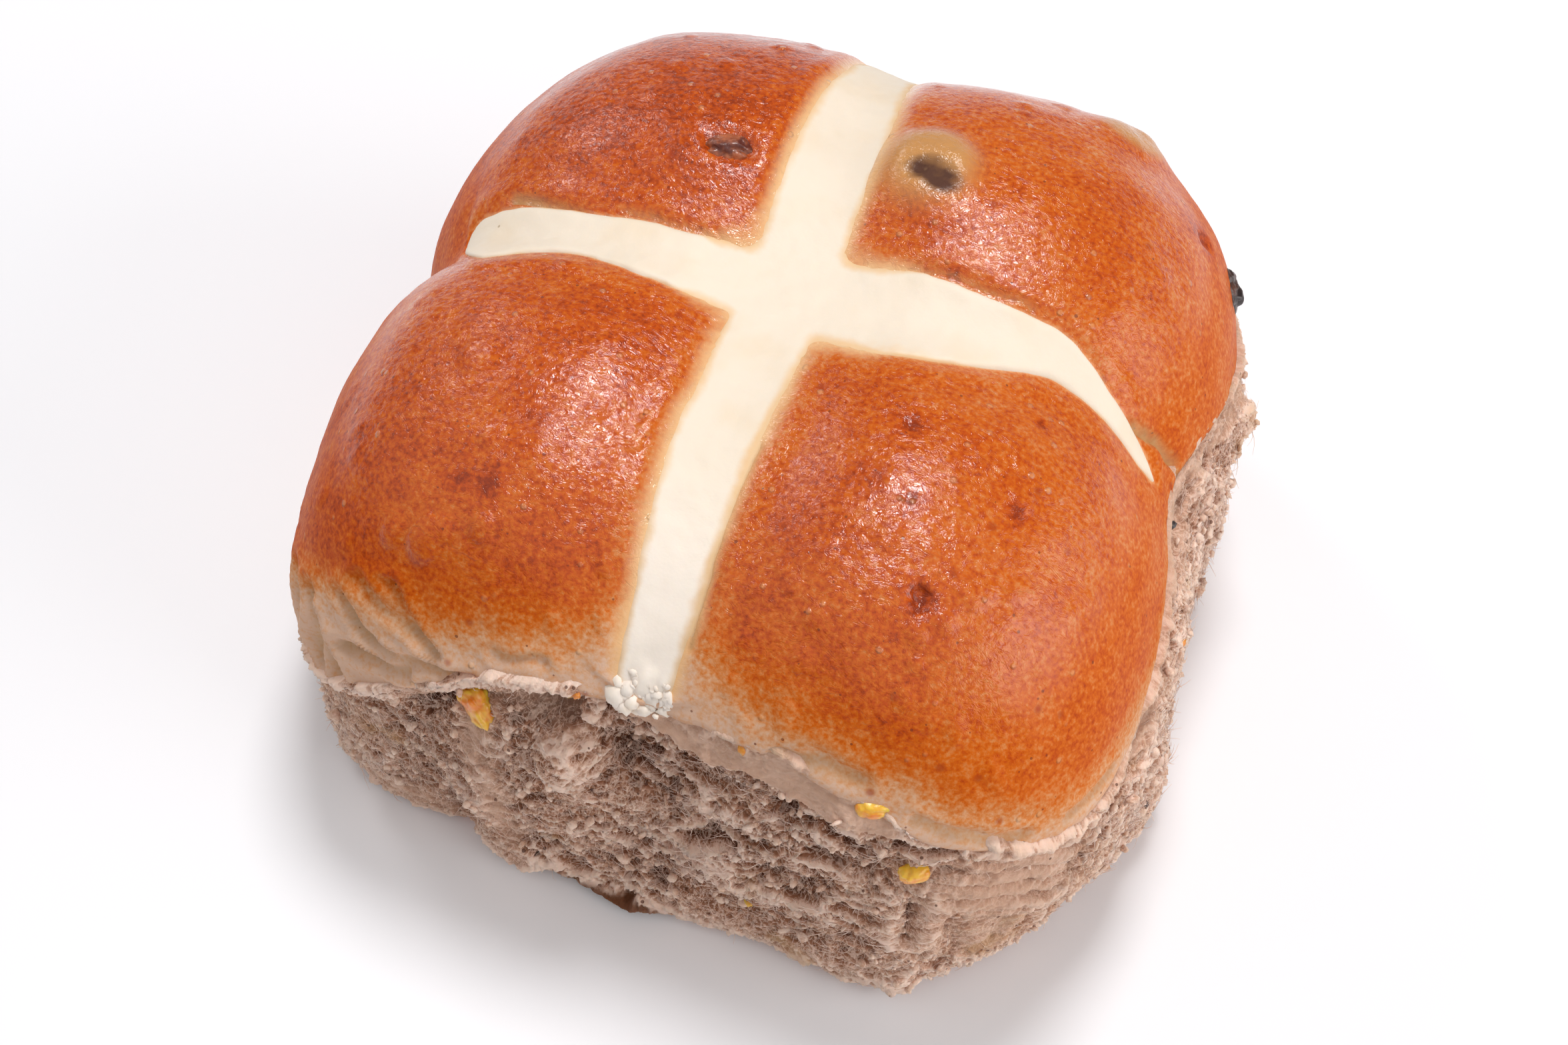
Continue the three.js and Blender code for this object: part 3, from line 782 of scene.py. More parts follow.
def bakeLevel(theta, point, inside):
    # how brown: 0 at the pale lower edge, rising over the shoulder, less beside the paste, with soft patches
    x, y, z = np.moveaxis(point, -1, 0)
    start = through(theta, crustRelief["paleStart"])
    rise = smooth(z, start, start + crustRelief["fade"]) ** 0.8
    level = 0.70 * rise + 0.03 * smooth(z, 38, 46) - 0.05 * sideOf(x - 8, 6) * rise
    level = level + 0.09 * layered([x, y, z], 9.0, 71, 3) * (0.4 + 0.6 * rise)
    level = level + 0.04 * noise([x, y, z], 2.2, 72)
    level = level - (0.05 + 0.09 * softEdge(x, y)) * bell((inside + 0.4) / 1.8) * smooth(z, 33, 38)
    level = level + 0.10 * sideOf(y - 6, 5) * sideOf(-x - 2, 5) + 0.03 * sideOf(-y - 16, 5)
    for px, py, size in reddened:
        level = level + 0.30 * bell(np.hypot(x - px, y - py) / size) * smooth(z, 33, 38)
    return level


def pasteFade(x, y, inside):
    # how much the crust pales towards the paste: over 2 mm beside the near and far arms, a hair elsewhere
    wide = 0.25 + 1.1 * softEdge(x, y) + 0.25 * noise([x, y], 1.5, 33) * softEdge(x, y)
    return smooth(inside, -wide, 0.3) ** 1.4


# the torn side of the crust, hidden behind the crumb: how far along, share of the lip's height, depth inside
tornProfile = np.array([
    (0.0, 0.03, 0.5), (0.03, 0.035, 0.9), (0.10, 0.05, 5.0), (0.78, 0.97, 5.6), (0.86, 1.03, 4.4),
    (0.93, 1.03, 2.4), (0.97, 1.0, 0.9), (1.0, 0.985, 0.15),
]).T


def crustBearings():
    # bearings round the bun, closer together over the front where the folds are: equal shares of a density
    g = crustGrid
    even = np.linspace(-np.pi, np.pi, 2001)
    dense = 1 + g["finer"] * bellAround(even, g["finerAt"], g["finerWide"])
    share = np.concatenate([[0], np.cumsum(dense[1:] + dense[:-1])])
    return np.interp(np.arange(g["columns"]) / g["columns"], share / share[-1], even)


def crustPiece():
    # one closed grid of rings: the flat base, the side (outside where it is baked, hidden inside where it is
    # torn, and out again under the lip), and the dome up to a pole under the cross
    g = crustGrid
    count = g["columns"]
    theta = crustBearings()[None, :]
    lip = lipHeight(theta)
    along = np.linspace(0, 1, g["side"])[:, None]
    sideTheta = np.broadcast_to(theta, (g["side"], count))
    baked, sideExtra = crustPoint(sideTheta, 0.7 + along * (lip - 0.7))
    tornUp = np.interp(along, tornProfile[0], tornProfile[1])
    tornIn = np.interp(along, tornProfile[0], tornProfile[2])
    inside = crustPoint(sideTheta, tornUp * lip)[0] - outwardOf(sideTheta) * tornIn[..., None]
    torn = tornShare(sideTheta)[..., None]
    side = baked * (1 - torn) + inside * torn
    belt, top = bunShape["belt"], bunShape["height"]
    start = np.arcsin((lip - belt) / (top - belt))
    climb = (np.arange(g["dome"]) / g["dome"])[:, None] ** 1.12
    domeTheta = np.broadcast_to(theta, (g["dome"], count))
    dome, domeExtra = crustPoint(domeTheta, onDome(np.sin(start + climb * (np.pi / 2 - start))))
    edge = side[0] - outwardOf(theta[0]) * 0.8
    shares = (np.arange(g["base"]) + 1)[:, None, None] / g["base"]
    base = edge[None] * shares * np.array([1, 1, 0])
    rings = np.concatenate([base, side, dome])
    points = np.vstack([rings.reshape(-1, 3), [[0, 0, 0]], [[0, 0, crownZ(0.0, 0.0, 1.0) - 0.9]]])
    last = (len(rings) - 1) * count
    faces = [gridQuads(len(rings), count, True), fan(np.arange(count), len(points) - 2, False),
             fan(last + np.arange(count), len(points) - 1, True)]
    allTheta = np.broadcast_to(theta, rings.shape[:2])
    attributes = {}
    for key in ("byPaste", "fruitSkin", "inside", "fruitDark", "crease"):
        flat = np.full((g["base"], count), -30.0 if key == "inside" else 0.0)
        attributes[key] = np.concatenate([flat, sideExtra[key], domeExtra[key]])
    paleTop = through(allTheta, crustRelief["paleStart"])
    # the fold valleys of the pale lower crust take the crease tan too, partly painted shade
    pale = 1 - smooth(rings[..., 2], paleTop + 1, paleTop + 4)
    folds = np.clip(foldsAt(allTheta, rings[..., 2]), -0.3, 1)
    attributes["crease"] = np.clip(attributes["crease"] + pale * folds, 0, 1)
    attributes["gloss"] = 0.1 + 0.9 * smooth(rings[..., 2], 35.5, 42.5)
    bake = bakeLevel(allTheta, rings, attributes.pop("inside"))
    attributes["bake"] = np.where(rings[..., 2] < 1.4, 0.74, bake)
    poles = {"bake": [0.7, 0.4]}
    attributes = {key: np.append(values, poles.get(key, [0, 0])) for key, values in attributes.items()}
    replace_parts(makePiece("crust", points, faces, crustSkin, attributes), "bun")


allBubbles = scatteredBubbles()
crustPiece()

# torn crumb

crumbPatches = {
    "crumbFrontLeft": {"from": -176, "to": -105, "columns": 400, "rows": 238},
    "crumbFront": {"from": -106, "to": -38, "columns": 400, "rows": 238},
    "crumbRight": {"from": -39, "to": 11, "columns": 350, "rows": 270},
    "crumbRightBack": {"from": 10, "to": 58, "columns": 350, "rows": 270},
}
crumbRelief = {
    # how far the torn face stands back under the lip, first just under it and then lower, and over what drop
    "recess": [
        (-180, 0.6, 1.2, 2), (-135, 0.5, 1.2, 1.5), (-122, 0.5, 1.5, 1.2), (-113, 0.6, 1.7, 1.2),
        (-98, 1.0, 2.4, 1.5), (-92, 0.4, 2.9, 3.0), (-75, 0.3, 2.7, 3.8), (-62, 0.4, 1.8, 3.6),
        (-57, 0.8, 1.5, 1.5), (-44, 0.9, 1.6, 1.5), (-34, 0.6, 0.6, 2), (-24, 0.5, -0.3, 2.5),
        (-8, 0.5, 0.1, 2.5), (4, 0.5, 0.5, 3), (18, 0.4, 0.7, 3), (34, 0.4, 0.4, 3), (50, 0.5, 0.6, 3),
    ],
    # hollows (+) and lumps (-): bearing, height, depth, half-width in degrees, half-height
    "hollows": [
        (-102.8, 29.3, 3.6, 4.6, 2.6), (-92.8, 25.8, 4.0, 4.0, 3.2), (-99.5, 25.0, -2.2, 3.0, 2.6),
        (-97.5, 30.6, -1.3, 1.8, 1.6), (-84, 28, 1.2, 5, 2.2), (-85.5, 22.5, 1.3, 3.4, 2.2),
        (-77, 20.5, 1.4, 4.4, 1.8), (-80, 25, -0.6, 4, 1.6), (-69.5, 25.8, 1.5, 3.0, 1.3),
        (-63.4, 27.0, 1.1, 2.4, 1.0), (-62.0, 22.8, 2.4, 5.4, 1.2), (-69, 17.5, 1.0, 5, 1.2),
        (-72, 13.5, -0.8, 8, 1.8), (-63.5, 30.4, -0.9, 2.6, 1.2), (-59.2, 28.6, -0.7, 1.6, 2.0),
        (-110.0, 14, -1.0, 2.6, 11), (-106.5, 3.0, -1.2, 4, 2.2), (-118, 24.5, 1.6, 4.2, 3.6),
        (-121, 14, 1.3, 6, 8), (-117.5, 5, 1.0, 2.8, 6), (-131, 15, 0.6, 4, 4), (-128, 7, -0.5, 6, 4),
        (-94, 0.4, -2.4, 7, 1.3), (-111.2, 28.4, 1.4, 2.4, 1.7), (-58.2, 27.2, 1.3, 1.8, 1.2),
        (-9.5, 19.6, 1.0, 2.4, 1.4), (-86, 8, 0.5, 4, 3), (-82, 15, -0.5, 5, 2.5), (-57, 4, -0.9, 3, 5),
        (-30, 12, -0.7, 4, 5), (-21, 17, 0.6, 3, 4), (-17, 9, -0.9, 4, 5), (-10, 20, -0.7, 3.4, 3),
        (-3, 15, 0.8, 3, 4), (3, 21, -0.8, 3, 3), (9, 27, -0.6, 3, 2.4), (14, 18, -0.8, 4, 5),
        (24, 24, -1.3, 2.6, 2.4), (30, 16, 0.8, 4, 5),
    ],
    # webs of cells: size, depth, width of the walls as a share, seed
    "webs": [
        (4.3, 1.45, 0.34, 181), (2.1, 0.58, 0.26, 284), (1.0, 0.32, 0.28, 387), (0.55, 0.2, 0.32, 490),
    ],
    # smooth skin and not open crumb: bearing, height, how much, half-width in degrees, half-height
    "smoothPlaces": [
        (-103.5, 29.8, 0.9, 4.6, 2.4), (-111.5, 24, 0.85, 1.9, 5), (-109.0, 13, 0.75, 1.6, 8),
        (-46, 21, 1.0, 10, 6.0), (-45, 10, 0.7, 9, 4.5), (-140, 16, 0.7, 9, 5), (-118, 28, 0.6, 4, 1.6),
        (-70, 32, 0.6, 9, 1.6), (-88, 33, 0.6, 7, 1.4), (-60, 29.4, 0.7, 2.4, 1.6),
        (0, 29.5, 0.7, 9, 2.2), (-24, 23.5, 0.6, 9, 1.5), (-126, 4, 0.5, 10, 2.6),
    ],
    "layers": {"at": -46, "wide": 11, "low": 15.5, "high": 27.5, "pitch": 2.1, "deep": 0.95, "slope": 0.4},
    # where the foot is baked dark
    "darkFoot": {"at": -94, "wide": 9},
}


def placesAt(theta, height, places):
    # bells on the torn face: (bearing, height, amount, half-width in degrees, half-height)
    return sum(by * bellAround(theta, at, wide) * bell((height - up) / tall)
               for at, up, by, wide, tall in places)


def layersAt(theta, height):
    # rolled folds of skin round the corner: half sines up the side whose lines fall to the right
    f = crumbRelief["layers"]
    turned = turnBetween(theta, f["at"] * deg) / deg
    along = turned / f["wide"]
    bend = f["slope"] * turned + 1.1 * along**2
    bend = bend + 0.9 * noise([theta * 36, height], 6.0, 95) + 0.3 * noise([theta * 36, height], 1.6, 96)
    phase = (height + bend) / f["pitch"]
    tooth = phase - np.floor(phase)
    roll = np.sin(np.pi * tooth) ** 0.7
    window = bell(along**2) * smooth(height + bend, f["low"] - 1.5, f["low"] + 2)
    window = window * (1 - smooth(height, f["high"] - 1, f["high"] + 2))
    # the second value is how much of a groove lies between the folds; it is given painted shade
    return f["deep"] * roll * window, window * (1 - roll) ** 1.5


def softened(values, reach, steps=5):
    # a mean over a square of neighbours in the grid
    shifts = np.unique(np.round(np.linspace(-reach, reach, steps)).astype(int))
    rows = sum(np.roll(values, shift, 0) for shift in shifts) / len(shifts)
    return sum(np.roll(rows, shift, 1) for shift in shifts) / len(shifts)


def tornDepth(theta, height, lip):
    # how far in the torn face lies before its cells: the recess under the lip, hollows, creases and folds
    spot = [theta * 36, height]
    at, near, low, drop = (np.array(column, float) for column in zip(*crumbRelief["recess"]))
    degrees = turnBetween(theta, 0) / deg
    first, later, over = (np.interp(degrees, at, column) for column in (near, low, drop))
    below = lip - height + 0.8 * noise(spot, 4.2, 97) + 0.25 * noise(spot, 1.3, 107)
    plain = first * smooth(below, -0.3, 0.4) + (later - first) * smooth(below, over - 0.7, over + 1.3)
    plain = plain * smooth(height, 0, 9) + placesAt(theta, height, crumbRelief["hollows"])
    plain = plain + 0.5 * layered(spot, 6.0, 93, 2) + creasesAt(theta, height, creases["crumb"], 45)
    smoothed = placesAt(theta, height, crumbRelief["smoothPlaces"])
    ledge = (1 - smooth(below, over - 0.6, over + 0.2)) * smooth(over, 1.8, 2.8)
    openness = 1 - 0.93 * np.clip(smoothed + 0.62 * ledge, 0, 1)
    fold, groove = layersAt(theta, height)
    return plain - fold, openness, groove


def outOf(points):
    # the direction out of a grid of points: the cross product of its two tangents, made 1 long
    normal = np.cross(np.gradient(points, axis=1), np.gradient(points, axis=0))
    return normal / np.linalg.norm(normal, axis=-1, keepdims=True)


def pocketDepth(point, openness):
    # pockets between thin walls at several sizes, by how much nearer one scattered point is than the next
    x, y, z = np.moveaxis(point, -1, 0)
    bent = [axis + 0.9 * noise([x, y, z], 3.4, 98 + k) + 0.45 * noise([x, y, z], 1.1, 108 + k)
            for k, axis in enumerate((x, y, z * 1.5))]
    total = 0
    strength = np.clip(0.75 + 0.75 * noise([x, y, z], 6.5, 102), 0.15, 1.3)
    for k, (size, deep, wall, seed) in enumerate(crumbRelief["webs"]):
        nearest, second, number = cells([axis / size for axis in bent], seed)
        pocket = smooth(second - nearest, 0.02, wall) * (0.15 + 0.85 * number)
        total = total + deep * pocket * (strength if k < 3 else 1)
    threads = 1 - np.abs(noise(bent, 0.55, 106)) * 2.2
    rough = 0.14 * layered([x, y, z], 0.9, 103, 3) - 0.2 * np.clip(threads, 0, 1) ** 2
    return openness * (total - 1.0) + rough * (0.6 + 0.4 * openness)


def crumbPoint(theta, height, lip):
    # the skin moved in by the tear's depth, then by its cells: thin walls stay pale, pockets take painted
    # shade; the last value says how much of a ridge each place is, for the fibres and flakes
    plain, openness, groove = tornDepth(theta, height, lip)
    around = theta * 36
    base = skin(theta, np.maximum(height, 0.05)) - outwardOf(theta) * plain[..., None]
    pockets = pocketDepth(base, openness) * smooth(height, 0.2, 2.0)
    away = outOf(base) + 0.5 * outwardOf(theta)
    point = base - away / np.linalg.norm(away, axis=-1, keepdims=True) * pockets[..., None]
    fine, broad = pockets - softened(pockets, 5), pockets - softened(pockets, 16)
    wide = plain - softened(plain, 34, 7)
    # painted shade: darker in pockets, in fold grooves, in the broad hollows and far back under the lip
    deepness = 0.34 + 0.3 * groove + 0.7 * fine + 0.55 * broad + 0.34 * np.clip(wide, -0.6, 2)
    deepness = deepness + 0.05 * np.clip(plain - 1, -1, 4)
    foot = crumbRelief["darkFoot"]
    darkBase = bellAround(theta, foot["at"], foot["wide"])
    browned = smooth(1.1 + 1.0 * darkBase + 0.5 * noise([around], 2.0, 105) - height, 0, 0.7)
    # skinLike drops in the fold grooves so that the painted shade of deep shows there
    looks = {"deep": np.clip(deepness, -0.1, 1.2), "skinLike": np.clip(1 - openness - 0.6 * groove, 0, 1),
             "baseBrown": browned * (0.35 + 0.65 * darkBase)}
    low = smooth(lip - height, 0.8, 1.8)
    return point, looks, np.clip(-fine - 0.6 * broad, 0, 1) * openness * low


def crumbPiece(name, patch):
    # a grid over the torn face whose four borders turn in under the crust, closed by a fan to a point inside
    rows, columns = patch["rows"], patch["columns"]
    theta = np.linspace(patch["from"], patch["to"], columns)[None, :] * deg
    lip = lipHeight(theta)
    t = np.linspace(0, 1, rows)[:, None]
    theta = np.broadcast_to(theta, (rows, columns))
    height = 0.35 + t * (lip + 1.2 - 0.35)
    point, looks, ridges = crumbPoint(theta, height, lip)
    torn = tornShare(theta)
    tuck = 6.0 * (1 - torn) + 4.5 * smooth(t, 0.968, 1.0) + 2.5 * smooth(0.02 - t, 0, 0.02)
    across = np.linspace(0, 1, columns)[None, :]
    tuck = tuck + 0.35 * (smooth(0.012 - across, 0, 0.012) + smooth(across, 0.988, 1.0))
    point = point - outwardOf(theta) * tuck[..., None]
    point[..., 2] = np.clip(point[..., 2], 0.05, None)
    index = np.arange(rows * columns).reshape(rows, columns)
    border = np.concatenate([index[0], index[1:, -1], index[-1, -2::-1], index[-2:0:-1, 0]])
    middle = point.reshape(-1, 3).mean(0) * np.array([0.35, 0.35, 1.0])
    points = np.vstack([point.reshape(-1, 3), middle])
    faces = [gridQuads(rows, columns, False), fan(border, rows * columns, False)]
    attributes = {key: np.append(values, 0.5) for key, values in looks.items()}
    makePiece(name, points, faces, crumbSkin, attributes)
    return point, ridges, torn, height, theta


crumbFaces = {name: crumbPiece(name, patch) for name, patch in crumbPatches.items()}

# the cross

crossForm = {
    "above": 0.42, "edge": 0.55, "under": 1.5, "block": 4.9, "margin": 1.3, "across": 50, "along": 130,
}


def pasteRise(x, y):
    # the paste's height over the bread: level inside the arms' edges, softly uneven, diving under outside
    inside = insideCross(x, y)
    f = crossForm
    soft = softEdge(x, y)
    level = f["above"] - 0.14 * soft + 0.10 * layered([x, y], 3.4, 111, 3) + 0.02 * noise([x, y], 0.7, 112)
    broken = smooth(-y, 30.0, 31.4) * smooth(4 - np.abs(x), 0, 1)
    level = level + broken * (0.25 + 0.6 * layered([x, y], 0.9, 113, 2))
    edge = f["edge"] * (0.5 + 1.3 * soft)
    return np.where(inside > 0, level * (1 - np.exp(-inside / edge)), np.maximum(1.1 * inside, -1.4)), inside


def strip(along, sign):
    # one arm in plan, as rows outwards from the block: as wide as the block there, then its own width
    f, arm = crossForm, arms[along]
    margin = {("y", -1): 0.15, ("x", -1): 2.8}.get((along, sign), f["margin"])
    end = armEnds[along][1 if sign > 0 else 0] + sign * margin
    run = sign * f["block"] + (end - sign * f["block"]) * np.linspace(0, 1, f["along"] + 1)[:, None]
    ease = smooth(np.abs(run), f["block"], f["block"] + 2.2)
    half = f["block"] * (1 - ease) + (alongArm(run, arm["width"]) / 2 + f["margin"]) * ease
    turn = -sign if along == "x" else sign
    side = alongArm(run, arm["offset"]) * ease + half * turn * np.linspace(-1, 1, f["across"] + 1)[None, :]
    run = np.broadcast_to(run, side.shape)
    return np.stack([run, side] if along == "x" else [side, run], -1)


def closedSheet(top, faces, under):
    # a sheet and its underside, joined by walls along the edges that only one face has
    edges = np.stack([faces, np.roll(faces, -1, 1)], -1).reshape(-1, 2)
    key = np.sort(edges, 1) @ np.array([len(top), 1])
    _, first, times = np.unique(key, return_index=True, return_counts=True)
    rim = edges[first[times == 1]]
    walls = np.stack([rim[:, 1], rim[:, 0], rim[:, 0] + len(top), rim[:, 1] + len(top)], -1)
    return np.vstack([top, under]), [faces, faces[:, ::-1] + len(top), walls]


def crossPiece():
    # a square block where the arms meet and a strip out from each of its sides, welded into one sheet
    f = crossForm
    line = f["block"] * np.linspace(-1, 1, f["across"] + 1)
    blocks = [np.stack(np.meshgrid(line, line), -1)]
    blocks += [strip(along, sign) for along in "xy" for sign in (1, -1)]
    starts = np.cumsum([0] + [block[..., 0].size for block in blocks])
    plan = np.concatenate([block.reshape(-1, 2) for block in blocks])
    faces = np.concatenate([gridQuads(*block.shape[:2], False) + at for block, at in zip(blocks, starts)])
    _, keep, same = np.unique(np.round(plan, 5), axis=0, return_index=True, return_inverse=True)
    plan, faces = plan[keep], same.ravel()[faces]
    x, y = plan.T
    bread, outward = crustUnder(x, y)
    rise, inside = pasteRise(x, y)
    points, faceSets = closedSheet(bread + outward * rise[:, None], faces, bread - outward * f["under"])
    edge = 1 - smooth(inside, -0.1, 0.25 + 1.0 * softEdge(x, y) + 0.3 * noise([x, y], 2.5, 114))
    thin = bell(np.hypot((x - 9.5) / 4.5, (y + 2.9) / 1.7))
    thin = thin + bell(np.hypot((x - 2.6) / 1.0, (y + 12.5) / 3.5))
    edge = np.clip(edge + 0.5 * thin, 0, 1)
    # pale down the near arm: partly less-baked paste, partly painted light on the slope
    looks = {"edge": np.tile(edge, 2), "pale": np.tile(smooth(-y, 15, 27), 2)}
    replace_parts(makePiece("pasteCross", points, faceSets, pasteSkin, looks), "cross")


crossPiece()
pasteCrumbLook = {"end": (-2.5, 2.2, -32.7, -30.9), "number": 60, "size": (0.3, 0.9), "seed": 173}


def ballForm(rows, columns):
    # a ball of radius 1 as rings from pole to pole, closed by a fan at each
    up = np.linspace(-np.pi / 2, np.pi / 2, rows)[1:-1, None]
    around = np.arange(columns)[None, :] * 2 * np.pi / columns
    level = [np.cos(up) * np.cos(around), np.cos(up) * np.sin(around)]
    ball = np.stack([*level, np.sin(up) * np.ones_like(around)], -1)
    ball = np.vstack([ball.reshape(-1, 3), [[0, 0, -1], [0, 0, 1]]])
    ring = np.arange(columns)
    return ball, [gridQuads(rows - 2, columns, True), fan(ring, len(ball) - 2, False),
                  fan((rows - 3) * columns + ring, len(ball) - 1, True)]


def lumps(centres, sizes, pick, form=(5, 7)):
    # balls pressed to uneven ovals, turned every way, each corner moved a little
    ball, faces = ballForm(*form)
    number = len(centres)
    stretch = pick.uniform(0.45, 1.3, (number, 1, 3))
    axes = pick.normal(0, 1, (number, 3, 3))
    turned, _ = np.linalg.qr(axes)
    turned = turned * np.sign(np.linalg.det(turned))[:, None, None]
    points = ball[None] * stretch * (1 + pick.normal(0, 0.16, (number, len(ball), 1)))
    points = np.einsum("nij,nkj->nki", turned, points * sizes[:, None, None]) + centres[:, None]
    offsets = np.arange(number)[:, None, None] * len(ball)
    return points.reshape(-1, 3), [(part[None] + offsets).reshape(-1, part.shape[1]) for part in faces]


def mostlySmall(pick, number, power, least, most):
    # sizes between two bounds, more of them small
    return pick.uniform(0, 1, number) ** power * (most - least) + least


def pasteCrumbs():
    # broken lumps heaped over the near arm's end
    f = pasteCrumbLook
    pick = np.random.default_rng(f["seed"])
    x = pick.uniform(*f["end"][:2], f["number"])
    y = pick.uniform(*f["end"][2:], f["number"])
    size = mostlySmall(pick, len(x), 1.6, *f["size"])
    bread, outward = crustUnder(x, y)
    points, faces = lumps(bread + outward * (0.16 - 0.62 * size)[:, None], size, pick)
    # the lumps take the full pale, partly painted light
    looks = {"edge": np.full(len(points), 0.3), "pale": np.ones(len(points))}
    makePiece("pasteCrumbs", points, faces, pasteSkin, looks)


pasteCrumbs()

# dried fruit and peel

fruitPieces = {
    "sultana_crown": {"on": "crown", "turn": 20, "size": (6.2, 4.8, 4.2), "wrinkle": 0.12, "seed": 121},
    "sultana_rim": {"on": "skin", "turn": 146, "size": (6.8, 5.0, 4.4), "wrinkle": 0.1, "seed": 124},
    "raisin_side": {"on": "skin", "turn": 130, "size": (6.2, 4.2, 4.0), "wrinkle": 0.22, "seed": 127},
    "currant_left": {"on": "crown", "turn": 12, "size": (4.8, 3.2, 3.6), "wrinkle": 0.2, "seed": 130},
    "peel_cave": {
        "on": "side", "turn": 100, "size": (4.4, 2.6, 2.4), "wrinkle": 0.22, "sunk": 0.3, "seed": 133,
    },
    "peel_lip": {
        "on": "side", "turn": 25, "size": (3.2, 1.7, 1.9), "wrinkle": 0.22, "sunk": 0.2, "seed": 136,
    },
    "peel_crumb": {
        "on": "side", "turn": 30, "size": (2.5, 1.7, 1.6), "wrinkle": 0.22, "sunk": 0.3, "seed": 139,
    },
    "peel_side": {
        "on": "side", "turn": 150, "size": (2.4, 1.5, 1.6), "wrinkle": 0.22, "sunk": 0.3, "seed": 142,
    },
}


def fruitPoints(form, rows=40, columns=64):
    # an oval as rings from pole to pole, blunter for peel, with ridged noise pressed in as wrinkles
    ball, faces = ballForm(rows, columns)
    power = 3.2 if form["on"] == "side" else 2.2
    ball = ball / (np.abs(ball) ** power).sum(-1, keepdims=True) ** (1 / power)
    size = np.array(form["size"]) / 2
    place = list((ball * size * np.array([0.7, 1.0, 1.0])).T)
    crease = 1 - np.abs(noise(place, 1.1, form["seed"])) * 1.6
    small = 1 - np.abs(noise(place, 0.5, form["seed"] + 1)) * 1.6
    shrink = 1 - form["wrinkle"] * (0.7 * smooth(crease, 0.2, 1) + 0.3 * smooth(small, 0.2, 1))
    return ball * size * shrink[:, None], faces


def standingOn(centre, form):
    # turned about the surface's outward direction at its place, and stood along it
    theta = np.arctan2(centre[1], centre[0])
    outward = np.array([*(centre[:2] / 36 * 0.25), 1.0]) if form["on"] == "crown" else outwardOf(theta)
    if form["on"] == "skin":
        outward = outward + np.array([0, 0, 0.8])
    upright = Vector((0, 0, 1)).rotation_difference(Vector(outward)).to_matrix()
    return np.array(upright @ Matrix.Rotation(form["turn"] * deg, 3, "Z"))


def onTornFace(centre):
    # the place on the torn face nearest a point in bearing and height
    best, found = 1e9, centre
    for point, *_ in crumbFaces.values():
        flat = point[4:-10, 4:-4].reshape(-1, 3)
        turned = turnBetween(np.arctan2(flat[:, 1], flat[:, 0]), np.arctan2(centre[1], centre[0])) * 36
        away = turned**2 + (flat[:, 2] - centre[2]) ** 2
        if away.min() < best:
            best, found = away.min(), flat[away.argmin()]
    return found


def fruitPiece(node, form):
    centre = nodeMiddle(node)
    if form["on"] == "side":
        centre = onTornFace(centre) - outwardOf(np.arctan2(centre[1], centre[0])) * form["sunk"]
    points, faces = fruitPoints(form)
    kind = node.split("_")[0]
    points = points @ standingOn(centre, form).T + centre
    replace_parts(makePiece(node + "Piece", points, faces, fruitSkins[kind]), node)


for node, form in fruitPieces.items():
    fruitPiece(node, form)

# small bits pressed into the torn sides: bearing, height and half-width
bits = {
    "peel": [
        (-99.5, 34.4, 0.5), (-98.6, 34.3, 0.35), (-75.8, 33.9, 0.45), (-75.5, 7.6, 0.5),
        (-74.6, 8.2, 0.35), (-12.0, 25.0, 0.4), (16.0, 14.0, 0.45), (31.0, 20.0, 0.4),
    ],
    "raisin": [
        (-0.2, 30.4, 0.55), (1.0, 30.0, 0.35), (-96.4, 20.5, 0.22), (-62.5, 16.0, 0.2),
        (-21.0, 9.0, 0.25),
    ],
}


def bitsPiece(kind, seed):
    pick = np.random.default_rng(seed)
    theta, height, size = (np.array(column, float) for column in zip(*bits[kind]))
    centres = skin(theta * deg, height)
    centres = np.array([onTornFace(centre) for centre in centres])
    points, faces = lumps(centres, size, pick, (7, 10))
    makePiece(kind + "Bits", points, faces, fruitSkins[kind])


bitsPiece("peel", 181)
bitsPiece("raisin", 182)

# fibres and flakes on the crumb

fibreLook = {
    "perPatch": 2350, "length": (0.5, 1.9), "radius": (0.028, 0.05), "steps": 4, "seed": 151,
    "lean": (0.05, 0.3), "swing": 0.9, "rise": (0.05, 0.5), "bend": 0.28, "inward": 0.55,
}
flakeLook = {"perPatch": 300, "size": (0.12, 0.5), "seed": 161}


def pickSpots(face, number, pick):
    # places on the torn face's walls, with the directions out of it and along it
    point, ridges, torn, height, theta = face
    chance = np.clip(ridges, 0, 0.8) ** 1.2 * (torn > 0.9) * smooth(height, 1.0, 6.0)
    chance = chance[2:-8, 4:-4].ravel()
    at = pick.choice(len(chance), number, p=chance / chance.sum(), replace=False)
    inner = point[2:-8, 4:-4].reshape(-1, 3)[at]
    return inner, outwardOf(theta[2:-8, 4:-4].ravel()[at])


